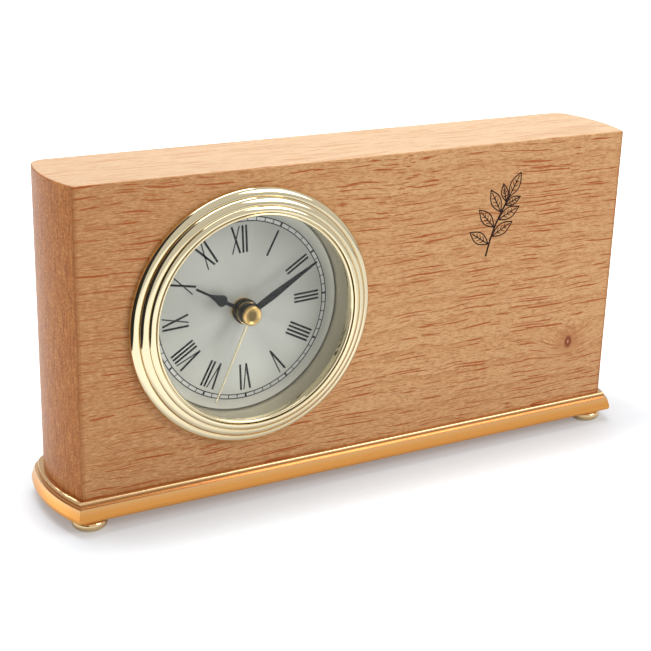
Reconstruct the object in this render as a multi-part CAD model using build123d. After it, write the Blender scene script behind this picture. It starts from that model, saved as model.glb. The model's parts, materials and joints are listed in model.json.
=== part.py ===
from build123d import *
import math
import os

os.makedirs("parts", exist_ok=True)

# Wooden desk clock: a bow-ended wood block on a gold base plate with four bun feet, and a
# round quartz insert set left of centre. Millimetres. X runs to the right, Y to the back,
# Z up. The origin is on the surface that the feet stand on, under the middle of the clock.

# Wood block
case_width = 216.0
case_height = 105.0
case_depth = 39.0
end_bulge = 3.5
back_corner_radius = 6.0
case_edge_round = 0.6
bore_housing_gap = 2.56

# Base plate
base_overhang = 4.2
base_step_overhang = 2.0
base_step_height = 2.0
base_step_round = 0.7
base_band_height = 5.0
base_flare_height = 3.2
base_flare = 1.1
base_bottom_round = 1.0

# Bun feet and their screws
foot_radius = 6.0
foot_flat_radius = 4.4
foot_bun_height = 3.7
foot_neck_radius = 3.6
foot_neck_height = 0.8
foot_inset = 7.6
foot_screw_head_radius = 2.3
foot_screw_head_height = 1.3
foot_screw_head_depth = 2.0
foot_screw_radius = 1.4
foot_screw_grip = 4.0

# Wood screws that hold the base plate
base_screw_spacing = 140.0
base_screw_head_radius = 3.6
base_screw_head_height = 1.9
base_screw_radius = 1.7
base_screw_length = 20.0
screw_clearance = 0.1
screw_slot_width = 0.7
screw_slot_depth = 0.6

# Where the insert sits on the front face
dial_centre_x = -46.6
dial_centre_rise = 2.1

# Bezel
bezel_lap = 4.0
bezel_height = 5.2
bezel_rim_crown = 2.4
bezel_rim_width = 1.2
bezel_rim_step = 0.2
bezel_band_inset = 3.0
bezel_band_height = 2.9
bezel_groove_width = 0.4
bezel_groove_depth = 0.8
bezel_crown_rise = 1.3
bezel_face_width = 6.8
bezel_inner_edge_round = 0.4
bezel_ledge_height = 0.7
bezel_ledge_width = 1.2

# Glass, its gasket and the ring that holds it
glass_thickness = 1.4
glass_clearance = 0.2
gasket_thickness = 0.3
gasket_width = 0.9
lip_ring_height = 5.0
lip_ring_seat_height = 1.0
lip_ring_clearance = 0.05
lip_ring_gap = 0.5
lip_ring_width = 2.2
lip_ring_crown = 0.5

# Dial pan, its screws and the band that grips the bore
dial_depth = 8.2
dial_thickness = 0.5
dial_clearance = 0.2
pan_wall = 0.8
pan_flange_gap = 0.5
pan_screw_head_radius = 1.1
pan_screw_head_height = 0.7
pan_screw_radius = 0.6
pan_screw_grip = 1.8
pan_screw_count = 4
friction_band_gap = 0.3
friction_band_top = 1.8
friction_band_width = 5.0
friction_band_bevel = 0.8

# Movement housing
movement_corner_radius = 4.0
movement_wall = 1.2
movement_front_depth = 11.5
isolation_pad_radius = 9.0
isolation_pad_thickness = 0.5
bushing_radius = 3.4
bushing_flange_radius = 5.0
bushing_flange_thickness = 0.8
bushing_hole_clearance = 0.05
nut_radius = 4.2
nut_height = 1.0
nut_slot_width = 0.9
nut_slot_depth = 0.4
bushing_stand_out = 0.2
cover_screw_inset = 5.6
cover_screw_drop = 6.0
cover_screw_radius = 0.9
cover_screw_head_radius = 1.7
cover_screw_head_height = 0.7
cover_post_radius = 2.2

# Battery bay
cell_radius = 7.1
cell_length = 49.2
cell_nub_radius = 2.7
cell_nub_length = 1.3
cell_clearance = 0.45
cell_end_room = 1.55
cell_floor_gap = 0.5
cell_back_gap = 0.65
bay_centre_drop = 19.2
bay_wall = 1.0
bay_end_gap = 0.6
contact_thickness = 0.3
contact_width = 6.0
contact_play = 0.1
contact_spring_radius = 3.0
contact_dimple_radius = 1.6
lead_width = 2.0
lead_depth = 12.0

# Hand stack, measured forward from the dial's face
hand_thickness = 0.5
hour_hand_rise = 2.4
hour_hub_radius = 4.4
hour_collet_radius = 3.9
hour_collet_height = 1.3
hour_collet_foot_radius = 2.6
hour_collet_foot_height = 0.8
hour_hand_length = 20.8
hour_neck_width = 1.3
hour_spade_start = 8.4
hour_spade_width = 4.0
hour_spade_middle = 10.4
hour_spade_end = 15.2
hour_shoulder_share = 0.85
hour_hollow_share = 0.33
hour_tip_width = 0.8
minute_hand_rise = 5.1
minute_hub_radius = 3.6
minute_hub_foot = 0.6
minute_hand_length = 29.7
minute_root_width = 2.0
minute_wide_place = 10.5
minute_wide_width = 2.6
minute_tip_width = 0.5
second_hand_rise = 6.7
second_hand_thickness = 0.25
second_hand_length = 32.1
second_root_width = 1.1
second_tip_width = 0.7
second_pipe_radius = 0.85
second_pipe_foot = 0.5
cap_radius = 3.5
cap_height = 1.25
cap_rim_width = 0.8
cap_dish_depth = 0.35
cap_edge_round = 0.35

# Hand angles in the photograph, in degrees clockwise from twelve
hour_hand_angle = 299.5
minute_hand_angle = 59.5
second_hand_angle = 204.0

# Gear trains: teeth, modules and where their layers lie behind the movement's front face
pressure_angle = 20.0
tooth_thinning = 0.04
cannon_teeth = 10
minute_work_teeth = 30
minute_work_pinion_teeth = 8
hour_wheel_teeth = 32
setting_pinion_teeth = 10
hour_wheel_diameter = 12.8
centre_rim_teeth = 60
third_pinion_teeth = 8
third_wheel_teeth = 64
second_pinion_teeth = 8
centre_rim_diameter = 18.0
second_wheel_teeth = 50
intermediate_pinion_teeth = 10
second_wheel_diameter = 15.0
intermediate_wheel_teeth = 48
rotor_pinion_teeth = 8
intermediate_wheel_diameter = 12.0
minute_work_direction = 150.0
setting_direction = 138.0
third_direction = 60.0
intermediate_direction = 10.0
rotor_direction = 0.0
small_pinion_shift_share = 0.5
large_pinion_shift_share = 0.4
pinion_addendum_share = 0.8
wheel_addendum_share = 1.0
dedendum_share = 1.25
wheel_thickness = 0.8
pinion_overlap = 0.2
hour_layer = 2.2
minute_work_layer = 4.2
centre_rim_layer = 6.0
third_layer = 8.0
bridge_layer = 9.15
second_layer = 10.0
intermediate_layer = 11.6
intermediate_thickness = 0.6
minute_work_hub_radius = 1.4

# Arbors and the plate that carries them
running_clearance = 0.08
second_arbor_radius = 0.4
minute_arbor_radius = 1.0
hour_pipe_radius = 1.7
small_arbor_radius = 0.5
setting_arbor_radius = 0.9
stud_radius = 0.6
bridge_thickness = 0.5
bridge_left = 11.4
bridge_right = 18.7
bridge_bottom = 5.9
bridge_top = 17.4
bridge_corner_radius = 2.0
bridge_post_radius = 1.3
bridge_second_hole = 1.7
pivot_boss_radius = 1.4
pivot_boss_gap = 0.5
pivot_depth = 0.6
knob_radius = 4.5
knob_height = 3.6
knob_gap = 0.4
knob_flute_count = 24
knob_flute_radius = 0.4

# Motor and electronics
rotor_magnet_radius = 2.7
rotor_magnet_front = 5.0
rotor_magnet_length = 4.0
stator_air_gap = 0.4
stator_thickness = 1.0
stator_layer = 6.0
stator_outer_neck = 0.6
stator_inner_neck = 0.4
stator_half_height = 10.0
stator_ear_height = 3.0
coil_offset = 7.3
coil_core_width = 3.0
coil_length = 12.0
coil_flange_thickness = 0.8
coil_radius = 3.3
coil_flange_radius = 3.5
coil_pipe_wall = 0.4
coil_wall_gap = 0.1
board_width = 18.0
board_height = 13.0
board_thickness = 1.0
board_layer = 10.0
board_edge_gap = 1.2
board_post_radius = 1.2
chip_size = 4.0
chip_height = 1.0
crystal_radius = 1.0
crystal_length = 6.0

# Cuts run past the faces that they open by this much
overrun = 1.0

# Gear modules: the pitch diameter of the larger wheel over its teeth
motion_module = hour_wheel_diameter / hour_wheel_teeth
centre_module = centre_rim_diameter / centre_rim_teeth
second_module = second_wheel_diameter / second_wheel_teeth
rotor_module = intermediate_wheel_diameter / intermediate_wheel_teeth


def polar(radius, degrees):
    """A place at a distance and an angle anticlockwise from X."""
    return radius * math.cos(math.radians(degrees)), radius * math.sin(math.radians(degrees))


def intermediate_place():
    distance = second_module * (second_wheel_teeth + intermediate_pinion_teeth) / 2
    return polar(distance, intermediate_direction)


def rotor_place():
    x, y = intermediate_place()
    dx, dy = polar(rotor_module * (intermediate_wheel_teeth + rotor_pinion_teeth) / 2, rotor_direction)
    return x + dx, y + dy


def coil_place():
    x, y = rotor_place()
    return x + coil_offset, y


# The housing is as wide as the cell or the motor needs, and as thick as the cell or the train needs
cell_half_width = (cell_length + cell_nub_length) / 2 + cell_end_room
motor_half_width = coil_place()[0] + coil_flange_radius + coil_wall_gap
cavity_half_width = max(cell_half_width, motor_half_width)
cavity_half_height = bay_centre_drop + cell_radius + cell_floor_gap
movement_width = 2 * (cavity_half_width + movement_wall)
movement_height = 2 * (cavity_half_height + movement_wall)
pivot_boss_front = intermediate_layer + intermediate_thickness + pinion_overlap + pivot_boss_gap
cell_thickness_need = movement_wall + cell_clearance + 2 * cell_radius + cell_back_gap
train_thickness_need = pivot_boss_front + pivot_depth + movement_wall
movement_thickness = max(cell_thickness_need, train_thickness_need)
movement_reach = movement_corner_radius + math.hypot(
    movement_width / 2 - movement_corner_radius, movement_height / 2 - movement_corner_radius)

# The bore clears the housing's corners, and the bezel, the pan and their parts follow the bore
bore_radius = movement_reach + bore_housing_gap
bezel_radius = bore_radius + bezel_lap
bezel_band_radius = bezel_radius - bezel_band_inset
bezel_bore_radius = bezel_radius - bezel_face_width
bezel_ledge_radius = bezel_bore_radius - bezel_ledge_width
lip_ring_radius = bezel_bore_radius - lip_ring_width
pan_flange_radius = bore_radius - pan_flange_gap
friction_band_radius = bore_radius - friction_band_gap

# Heights and depths that follow from the sizes above
foot_height = foot_bun_height + foot_neck_height
base_height = base_step_height + base_band_height
wood_bottom = foot_height + base_height
dial_centre_height = case_height / 2 + dial_centre_rise
front_y = (bezel_height - base_overhang - case_depth) / 2
dial_front = -dial_depth
dial_back = dial_front - dial_thickness
pan_back = dial_back - pan_wall
movement_front = pan_back - isolation_pad_thickness
glass_back = bezel_ledge_height + gasket_thickness
glass_front = glass_back + glass_thickness
bay_top = -bay_centre_drop + cell_radius + cell_clearance
cell_layer = movement_wall + cell_clearance + cell_radius

# The insert is built with its own X to the right, Y up and Z towards the viewer
insert_plane = Plane(
    origin=(dial_centre_x, front_y, wood_bottom + dial_centre_height), x_dir=(1, 0, 0), z_dir=(0, -1, 0)
)


def save(name, shape):
    """Write one node in the clock's own frame."""
    export_step(shape, f"parts/{name}.step")


def save_insert(name, shape):
    """Write one node that was built in the insert's frame."""
    save(name, insert_plane * shape)


def group(solids):
    """Several separate solids as one node."""
    return Compound(children=list(solids))


def disc(radius, low, high, at=(0, 0)):
    """A cylinder along Z between two heights."""
    return extrude(Pos(at[0], at[1], low) * Circle(radius), amount=high - low)


def ring(outer, inner, low, high, at=(0, 0)):
    """A tube along Z between two heights."""
    return extrude(Pos(at[0], at[1], low) * (Circle(outer) - Circle(inner)), amount=high - low)


def block(left, right, bottom, top, low, high):
    """A box given by its six faces."""
    outline = Pos((left + right) / 2, (bottom + top) / 2, low) * Rectangle(right - left, top - bottom)
    return extrude(outline, amount=high - low)


def rounded_block(width, height, corner, low, high):
    """A box with round upright corners, about Z."""
    return extrude(Pos(0, 0, low) * RectangleRounded(width, height, corner), amount=high - low)


def turned(edges):
    """Turn a closed outline of radius and height about Z."""
    return revolve(Plane.XZ * make_face(edges), Axis.Z, 360)


def behind(layer):
    """The height of a layer that lies so far behind the movement's front face."""
    return movement_front - layer


def plan_outline(grow):
    """The block's plan with its bowed ends and round back corners, grown all round."""
    end_radius = (case_depth ** 2 / 4 + end_bulge ** 2) / (2 * end_bulge)
    end_centre = case_width / 2 + end_bulge - end_radius
    half_depth = case_depth / 2 + grow
    reach = end_centre + end_radius + grow
    corner = end_centre + math.sqrt((end_radius + grow) ** 2 - half_depth ** 2)
    middle_y = front_y + case_depth / 2
    near_y, far_y = middle_y - half_depth, middle_y + half_depth
    outline = make_face([
        Line((-corner, near_y), (corner, near_y)),
        ThreePointArc((corner, near_y), (reach, middle_y), (corner, far_y)),
        Line((corner, far_y), (-corner, far_y)),
        ThreePointArc((-corner, far_y), (-reach, middle_y), (-corner, near_y)),
    ])
    back_corners = outline.vertices().group_by(Axis.Y)[-1]
    return fillet(back_corners, radius=back_corner_radius + grow)


def plan_slab(grow, low, high):
    return extrude(Pos(0, 0, low) * plan_outline(grow), amount=high - low)


# Wood block and base

def base_screw_places():
    middle_y = front_y + case_depth / 2
    return [(side * base_screw_spacing / 2, middle_y) for side in (-1, 1)]


def foot_places():
    x = case_width / 2 + base_overhang - foot_inset
    near_y = front_y - base_overhang + foot_inset
    far_y = front_y + case_depth + base_overhang - foot_inset
    return [(side * x, y) for side in (-1, 1) for y in (near_y, far_y)]


def make_wood_case():
    body = plan_slab(0, wood_bottom, wood_bottom + case_height)
    top_edges = body.edges().group_by(Axis.Z)[-1]
    front_uprights = body.edges().filter_by(Axis.Z).group_by(Axis.Y)[0]
    body = fillet(top_edges + front_uprights, radius=case_edge_round)
    bore = insert_plane * disc(bore_radius, -case_depth - overrun, overrun)
    pilot = base_screw_radius + screw_clearance / 2
    pilot_top = foot_height + base_screw_length + screw_clearance
    pilots = [disc(pilot, wood_bottom - overrun, pilot_top, at) for at in base_screw_places()]
    return body - bore - pilots


def make_base_plate():
    band = plan_slab(base_overhang, foot_height, foot_height + base_band_height)
    band = fillet(band.edges().group_by(Axis.Z)[0], radius=base_bottom_round)
    band_top = band.faces().sort_by(Axis.Z)[-1]
    band = chamfer(band_top.edges(), length=base_flare, length2=base_flare_height, reference=band_top)
    step = plan_slab(base_step_overhang, foot_height + base_band_height, wood_bottom)
    step = fillet(step.edges().group_by(Axis.Z)[-1], radius=base_step_round)
    plate = band + step
    for at in base_screw_places():
        plate -= disc(base_screw_radius + screw_clearance, foot_height - overrun, wood_bottom + overrun, at)
        plate -= Pos(at[0], at[1], foot_height) * screw_cone(screw_clearance)
    for at in foot_places():
        hole_top = foot_height + foot_screw_grip + screw_clearance
        plate -= disc(foot_screw_radius + screw_clearance / 2, foot_height - overrun, hole_top, at)
    return plate


def screw_cone(grow):
    """The sunk head of a base screw, its wide face down on height zero."""
    wide, narrow = base_screw_head_radius + grow, base_screw_radius + grow
    high = base_screw_head_height
    return turned(Polyline((0, 0), (wide, 0), (narrow, high), (0, high), close=True))


def make_base_screw(at):
    screw = screw_cone(0) + disc(base_screw_radius, 0, base_screw_length)
    slot = Box(2 * base_screw_head_radius + overrun, screw_slot_width, 2 * screw_slot_depth)
    return Pos(at[0], at[1], foot_height) * (screw - slot)


def make_foot(at):
    middle = foot_bun_height / 2
    bun = turned([
        Line((0, 0), (foot_flat_radius, 0)),
        ThreePointArc((foot_flat_radius, 0), (foot_radius, middle), (foot_neck_radius, foot_bun_height)),
        Line((foot_neck_radius, foot_bun_height), (foot_neck_radius, foot_height)),
        Line((foot_neck_radius, foot_height), (0, foot_height)),
        Line((0, foot_height), (0, 0)),
    ])
    recess = disc(foot_screw_head_radius + screw_clearance, -overrun, foot_screw_head_depth)
    hole = disc(foot_screw_radius + screw_clearance, 0, foot_height + overrun)
    return Pos(at[0], at[1], 0) * (bun - recess - hole)


def make_foot_screw(at):
    head_low = foot_screw_head_depth - foot_screw_head_height
    head = disc(foot_screw_head_radius, head_low, foot_screw_head_depth)
    shank = disc(foot_screw_radius, foot_screw_head_depth, foot_height + foot_screw_grip)
    slot_length = 2 * foot_screw_head_radius + overrun
    slot = Pos(0, 0, head_low) * Box(slot_length, screw_slot_width, 2 * screw_slot_depth)
    return Pos(at[0], at[1], 0) * (head + shank - slot)


# Bezel, glass and dial pan

def pan_screw_places():
    place_radius = (bezel_ledge_radius + pan_wall + pan_flange_radius) / 2
    step = 360 / pan_screw_count
    return [polar(place_radius, step * (number + 0.5)) for number in range(pan_screw_count)]


def make_bezel():
    rim_inner = bezel_radius - bezel_rim_width
    rim_low = bezel_rim_crown - bezel_rim_width
    eighth = 1 - math.sqrt(0.5)
    rim_mid = (bezel_radius - bezel_rim_width * eighth, bezel_rim_crown - bezel_rim_width * eighth)
    groove_floor = bezel_band_height - bezel_groove_depth
    crown_start = (bezel_band_radius - bezel_groove_width, bezel_band_height)
    crown_end = (bezel_bore_radius + bezel_inner_edge_round, bezel_height)
    crown_mid = ((crown_start[0] + crown_end[0]) / 2, bezel_band_height + bezel_crown_rise)
    edge_mid = (
        bezel_bore_radius + bezel_inner_edge_round * eighth, bezel_height - bezel_inner_edge_round * eighth)
    inner_edge = (bezel_bore_radius, bezel_height - bezel_inner_edge_round)
    body = turned([
        Line((bezel_ledge_radius, 0), (bezel_radius, 0)),
        Line((bezel_radius, 0), (bezel_radius, rim_low)),
        ThreePointArc((bezel_radius, rim_low), rim_mid, (rim_inner, bezel_rim_crown)),
        Line((rim_inner, bezel_rim_crown), (rim_inner, bezel_rim_crown - bezel_rim_step)),
        Line((rim_inner, bezel_rim_crown - bezel_rim_step), (bezel_band_radius, bezel_band_height)),
        Line((bezel_band_radius, bezel_band_height), (bezel_band_radius, groove_floor)),
        Line((bezel_band_radius, groove_floor), (crown_start[0], groove_floor)),
        Line((crown_start[0], groove_floor), crown_start),
        ThreePointArc(crown_start, crown_mid, crown_end),
        ThreePointArc(crown_end, edge_mid, inner_edge),
        Line(inner_edge, (bezel_bore_radius, bezel_ledge_height)),
        Line((bezel_bore_radius, bezel_ledge_height), (bezel_ledge_radius, bezel_ledge_height)),
        Line((bezel_ledge_radius, bezel_ledge_height), (bezel_ledge_radius, 0)),
    ])
    hole = pan_screw_radius + screw_clearance / 2
    return body - [disc(hole, -overrun, pan_screw_grip + screw_clearance, at) for at in pan_screw_places()]


def make_gasket():
    outer = bezel_bore_radius - glass_clearance
    return ring(outer, outer - gasket_width, bezel_ledge_height, glass_back)


def make_glass():
    return disc(bezel_bore_radius - glass_clearance, glass_back, glass_front)


def make_lip_ring():
    seat = bezel_bore_radius - lip_ring_clearance
    seat_top = glass_front + lip_ring_seat_height
    outer = bezel_bore_radius - lip_ring_gap
    crown_foot = lip_ring_height - lip_ring_crown
    crown_top = ((outer + lip_ring_radius) / 2, lip_ring_height)
    return turned([
        Line((lip_ring_radius, glass_front), (seat, glass_front)),
        Line((seat, glass_front), (seat, seat_top)),
        Line((seat, seat_top), (outer, seat_top)),
        Line((outer, seat_top), (outer, crown_foot)),
        ThreePointArc((outer, crown_foot), crown_top, (lip_ring_radius, crown_foot)),
        Line((lip_ring_radius, crown_foot), (lip_ring_radius, glass_front)),
    ])


def make_dial_pan():
    outer = bezel_ledge_radius + pan_wall
    wall = ring(outer, bezel_ledge_radius, pan_back, 0)
    floor = disc(outer, pan_back, dial_back)
    flange = ring(pan_flange_radius, bezel_ledge_radius, -pan_wall, 0)
    hole = disc(bushing_radius + bushing_hole_clearance, pan_back - overrun, 0)
    screw_holes = [disc(pan_screw_radius + screw_clearance, -pan_wall - overrun, overrun, at)
                   for at in pan_screw_places()]
    return wall + floor + flange - hole - screw_holes


def make_pan_screw(at):
    head = disc(pan_screw_head_radius, -pan_wall - pan_screw_head_height, -pan_wall, at)
    return head + disc(pan_screw_radius, -pan_wall, pan_screw_grip, at)


def make_friction_band():
    inner = bezel_ledge_radius + pan_wall
    top, low = -friction_band_top, -friction_band_top - friction_band_width
    outer = friction_band_radius
    return turned(Polyline(
        (inner, low), (outer - friction_band_bevel, low), (outer, low + friction_band_bevel),
        (outer, top), (inner, top), close=True,
    ))


def make_dial():
    radius = bezel_ledge_radius - dial_clearance
    return ring(radius, bushing_radius + bushing_hole_clearance, dial_back, dial_front)


# Movement housing

def cover_screw_places():
    x = movement_width / 2 - cover_screw_inset
    y = movement_height / 2 - cover_screw_inset
    return [(-x, -cover_screw_drop), (x, y)]


def minute_work_place():
    return polar(motion_distance(minute_work_teeth + cannon_teeth), minute_work_direction)


def motion_distance(teeth_sum):
    """Centre distance of a pair of motion-work gears, from the teeth of both."""
    return motion_module * teeth_sum / 2


def setting_place():
    x, y = minute_work_place()
    dx, dy = polar(motion_distance(minute_work_teeth + setting_pinion_teeth), setting_direction)
    return x + dx, y + dy


def third_place():
    return polar(centre_module * (centre_rim_teeth + third_pinion_teeth) / 2, third_direction)


def bridge_post_places():
    inset = bridge_post_radius + running_clearance
    left, right = -bridge_left + inset, bridge_right - inset
    return [(left, -bridge_bottom + inset), (left, bridge_top - inset), (right, bridge_top - inset)]


def board_corner():
    """The board's upper left corner, just inside the housing's wall."""
    return -cavity_half_width + board_edge_gap, cavity_half_height - board_edge_gap


def board_post_places():
    left, top = board_corner()
    inset = 2 * board_post_radius
    return [(left + inset, top - board_height + inset), (left + board_width - inset, top - inset)]


def make_front_shell():
    low, high = behind(movement_front_depth), movement_front
    floor = behind(movement_wall)
    shell = rounded_block(movement_width, movement_height, movement_corner_radius, low, high)
    inner_corner = movement_corner_radius - movement_wall
    shell -= rounded_block(
        2 * cavity_half_width, 2 * cavity_half_height, inner_corner, low - overrun, floor)
    bay_wall_end = cavity_half_width - bay_end_gap
    bay_wall_low = behind(movement_thickness - movement_wall) + running_clearance
    shell += block(-bay_wall_end, bay_wall_end, bay_top, bay_top + bay_wall, bay_wall_low, floor)
    for at in cover_screw_places():
        shell += disc(cover_post_radius, low, floor, at)
        shell -= disc(cover_screw_radius, low - overrun, floor, at)
    for at in bridge_post_places():
        shell += disc(bridge_post_radius, behind(bridge_layer), floor, at)
    for at in board_post_places():
        shell += disc(board_post_radius, behind(board_layer), floor, at)
    stud_low = behind(centre_rim_layer - running_clearance)
    shell += disc(stud_radius, stud_low, floor, minute_work_place())
    for sign in (-1, 1):
        x, y = stator_post_place(sign)
        shell += disc(bridge_post_radius, behind(stator_layer), floor, (x, y))
    shell -= disc(bushing_radius + bushing_hole_clearance, low, high + overrun)
    pivots = {third_place(): small_arbor_radius, rotor_place(): small_arbor_radius}
    pivots[setting_place()] = setting_arbor_radius
    for at, radius in pivots.items():
        shell -= disc(radius + running_clearance, floor, floor + pivot_depth, at)
    return shell


def stator_post_place(sign):
    x, y = coil_place()
    return x, y + sign * (stator_half_height - stator_ear_height / 2)


def make_back_cover():
    low, high = behind(movement_thickness), behind(movement_front_depth)
    inside = behind(movement_thickness - movement_wall)
    cover = rounded_block(movement_width, movement_height, movement_corner_radius, low, high)
    inner_corner = movement_corner_radius - movement_wall
    cover -= rounded_block(
        2 * cavity_half_width, 2 * cavity_half_height, inner_corner, inside, high + overrun)
    bay_end = cavity_half_width - contact_thickness
    cover -= block(-bay_end, bay_end, -cavity_half_height, bay_top, low - overrun, inside + overrun)
    boss_top = behind(pivot_boss_front)
    pivots = {intermediate_place(): small_arbor_radius, rotor_place(): small_arbor_radius}
    pivots[(0, 0)] = second_arbor_radius
    for at, radius in pivots.items():
        cover += ring(pivot_boss_radius, radius + running_clearance, inside, boss_top, at)
    for at in cover_screw_places():
        cover += disc(cover_post_radius, inside, high, at)
        cover -= disc(cover_screw_radius + screw_clearance, low - overrun, high + overrun, at)
    cover -= disc(setting_arbor_radius + running_clearance, low - overrun, inside + overrun, setting_place())
    return cover


def make_cover_screw(at):
    low = behind(movement_thickness)
    head = disc(cover_screw_head_radius, low - cover_screw_head_height, low, at)
    shank = disc(cover_screw_radius, low, behind(movement_wall + pivot_depth), at)
    slot = Pos(at[0], at[1], low - cover_screw_head_height) * Box(
        2 * cover_screw_head_radius + overrun, screw_slot_width, screw_slot_depth)
    return head + shank - slot


def make_bushing():
    flange_high = behind(movement_wall)
    flange_low = flange_high - bushing_flange_thickness
    flange = disc(bushing_flange_radius, flange_low, flange_high)
    front = dial_front + nut_height + bushing_stand_out
    pipe = disc(bushing_radius, flange_high, front)
    bore = disc(hour_pipe_radius + running_clearance, flange_low - overrun, front + overrun)
    return flange + pipe - bore


def make_nut():
    nut = ring(nut_radius, bushing_radius, dial_front, dial_front + nut_height)
    slot_height = dial_front + nut_height - nut_slot_depth
    half_slot = nut_slot_width / 2
    reach = nut_radius + overrun
    return nut - block(-reach, reach, -half_slot, half_slot, slot_height, dial_front + nut_height + overrun)


def make_isolation_pad():
    return ring(isolation_pad_radius, bushing_radius + bushing_hole_clearance, movement_front, pan_back)


def make_bridge():
    low, high = behind(bridge_layer + bridge_thickness), behind(bridge_layer)
    centre = ((bridge_right - bridge_left) / 2, (bridge_top - bridge_bottom) / 2)
    outline = RectangleRounded(bridge_left + bridge_right, bridge_top + bridge_bottom, bridge_corner_radius)
    plate = extrude(Pos(centre[0], centre[1], low) * outline, amount=high - low)
    rotor_hole = rotor_magnet_radius + stator_air_gap
    plate -= disc(rotor_hole, low - overrun, high + overrun, rotor_place())
    plate -= disc(bridge_second_hole, low - overrun, high + overrun)
    for at in (third_place(), intermediate_place()):
        plate -= disc(small_arbor_radius + running_clearance, low - overrun, high + overrun, at)
    return plate


# Gears

def involute(angle):
    return math.tan(angle) - angle


def gear_outline(teeth, module, shift_share, addendum_share, phase):
    """An involute gear's outline, with one tooth centred on the phase angle in degrees."""
    pitch = module * teeth / 2
    tip = pitch + module * (addendum_share + shift_share)
    root = pitch - module * (dedendum_share - shift_share)
    pressure = math.radians(pressure_angle)
    base = pitch * math.cos(pressure)
    half_tooth = math.pi / (2 * teeth) + 2 * shift_share * math.tan(pressure) / teeth
    half_tooth += involute(pressure) - tooth_thinning / (2 * pitch)
    start = max(base, root)
    middle = (start + tip) / 2
    edges = []

    def flank(radius):
        return half_tooth - involute(math.acos(min(1, base / radius)))

    for tooth in range(teeth):
        centre = math.radians(phase) + 2 * math.pi * tooth / teeth

        def point(radius, turn):
            return radius * math.cos(centre + turn), radius * math.sin(centre + turn)

        foot = flank(start)
        pitch_turn = math.pi / teeth
        right = [point(radius, -flank(radius)) for radius in (start, middle, tip)]
        left = [point(radius, flank(radius)) for radius in (tip, middle, start)]
        edges.append(ThreePointArc(*right))
        edges.append(ThreePointArc(right[2], point(tip, 0), left[0]))
        edges.append(ThreePointArc(*left))
        root_start, root_end = left[2], point(start, 2 * pitch_turn - foot)
        if root < start:
            edges.append(Line(root_start, point(root, foot)))
            root_start, root_end = point(root, foot), point(root, 2 * pitch_turn - foot)
        edges.append(ThreePointArc(root_start, point(root, pitch_turn), root_end))
        if root < start:
            edges.append(Line(root_end, point(start, 2 * pitch_turn - foot)))
    return make_face(edges)


def toothed(teeth, module, shift_share, addendum_share, phase, layer, thickness, at=(0, 0)):
    """A gear whose front face lies at a layer behind the movement's front."""
    outline = gear_outline(teeth, module, shift_share, addendum_share, phase)
    return extrude(Pos(at[0], at[1], behind(layer + thickness)) * outline, amount=thickness)


def mate_phase(phase, teeth, mate_teeth, direction):
    """The phase that sets a mate in mesh, for a gear of known phase and the direction to the mate."""
    return direction + 180 + (direction - phase) * teeth / mate_teeth + 180 / mate_teeth


def wheel(teeth, module, shift_share, phase, layer, thickness=wheel_thickness, at=(0, 0)):
    return toothed(teeth, module, -shift_share, wheel_addendum_share, phase, layer, thickness, at)


def pinion(teeth, module, shift_share, phase, layer, thickness=wheel_thickness, at=(0, 0)):
    """A pinion a little longer than the wheel that it meshes with, on both sides."""
    length = thickness + 2 * pinion_overlap
    front = layer - pinion_overlap
    return toothed(teeth, module, shift_share, pinion_addendum_share, phase, front, length, at)


small_shift = small_pinion_shift_share
large_shift = large_pinion_shift_share

cannon_phase = minute_work_direction
minute_work_phase = mate_phase(cannon_phase, cannon_teeth, minute_work_teeth, minute_work_direction)
minute_work_pinion_phase = minute_work_direction
hour_wheel_phase = mate_phase(
    minute_work_pinion_phase, minute_work_pinion_teeth, hour_wheel_teeth, minute_work_direction - 180)
setting_phase = mate_phase(minute_work_phase, minute_work_teeth, setting_pinion_teeth, setting_direction)
third_pinion_phase = third_direction
centre_rim_phase = mate_phase(
    third_pinion_phase, third_pinion_teeth, centre_rim_teeth, third_direction - 180)
second_pinion_phase = third_direction
third_wheel_phase = mate_phase(second_pinion_phase, second_pinion_teeth, third_wheel_teeth, third_direction)
intermediate_pinion_phase = intermediate_direction
second_wheel_phase = mate_phase(
    intermediate_pinion_phase, intermediate_pinion_teeth, second_wheel_teeth, intermediate_direction - 180)
rotor_pinion_phase = rotor_direction
intermediate_wheel_phase = mate_phase(
    rotor_pinion_phase, rotor_pinion_teeth, intermediate_wheel_teeth, rotor_direction - 180)

# The third wheel shares its centre distance with the centre rim, which sets its module
third_teeth_sum = third_wheel_teeth + second_pinion_teeth
third_module = centre_module * (centre_rim_teeth + third_pinion_teeth) / third_teeth_sum


def make_minute_arbor():
    top = dial_front + minute_hand_rise + hand_thickness + running_clearance
    rear = centre_rim_layer + wheel_thickness + pinion_overlap
    arbor = disc(minute_arbor_radius, behind(rear), top)
    arbor += pinion(cannon_teeth, motion_module, large_shift, cannon_phase, minute_work_layer)
    return arbor - disc(second_arbor_radius + running_clearance, behind(rear) - overrun, top + overrun)


def make_hour_wheel():
    top = dial_front + hour_hand_rise + hand_thickness + hour_collet_height
    body = wheel(hour_wheel_teeth, motion_module, small_shift, hour_wheel_phase, hour_layer)
    body += disc(hour_pipe_radius, behind(hour_layer), top)
    bore = minute_arbor_radius + running_clearance
    return body - disc(bore, behind(hour_layer + wheel_thickness) - overrun, top + overrun)


def make_minute_work_wheel():
    at = minute_work_place()
    body = wheel(minute_work_teeth, motion_module, large_shift, minute_work_phase, minute_work_layer, at=at)
    body += pinion(
        minute_work_pinion_teeth, motion_module, small_shift, minute_work_pinion_phase, hour_layer, at=at)
    body += disc(minute_work_hub_radius, behind(minute_work_layer), behind(hour_layer), at)
    hole = stud_radius + running_clearance
    return body - disc(hole, behind(centre_rim_layer), behind(0), at)


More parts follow.
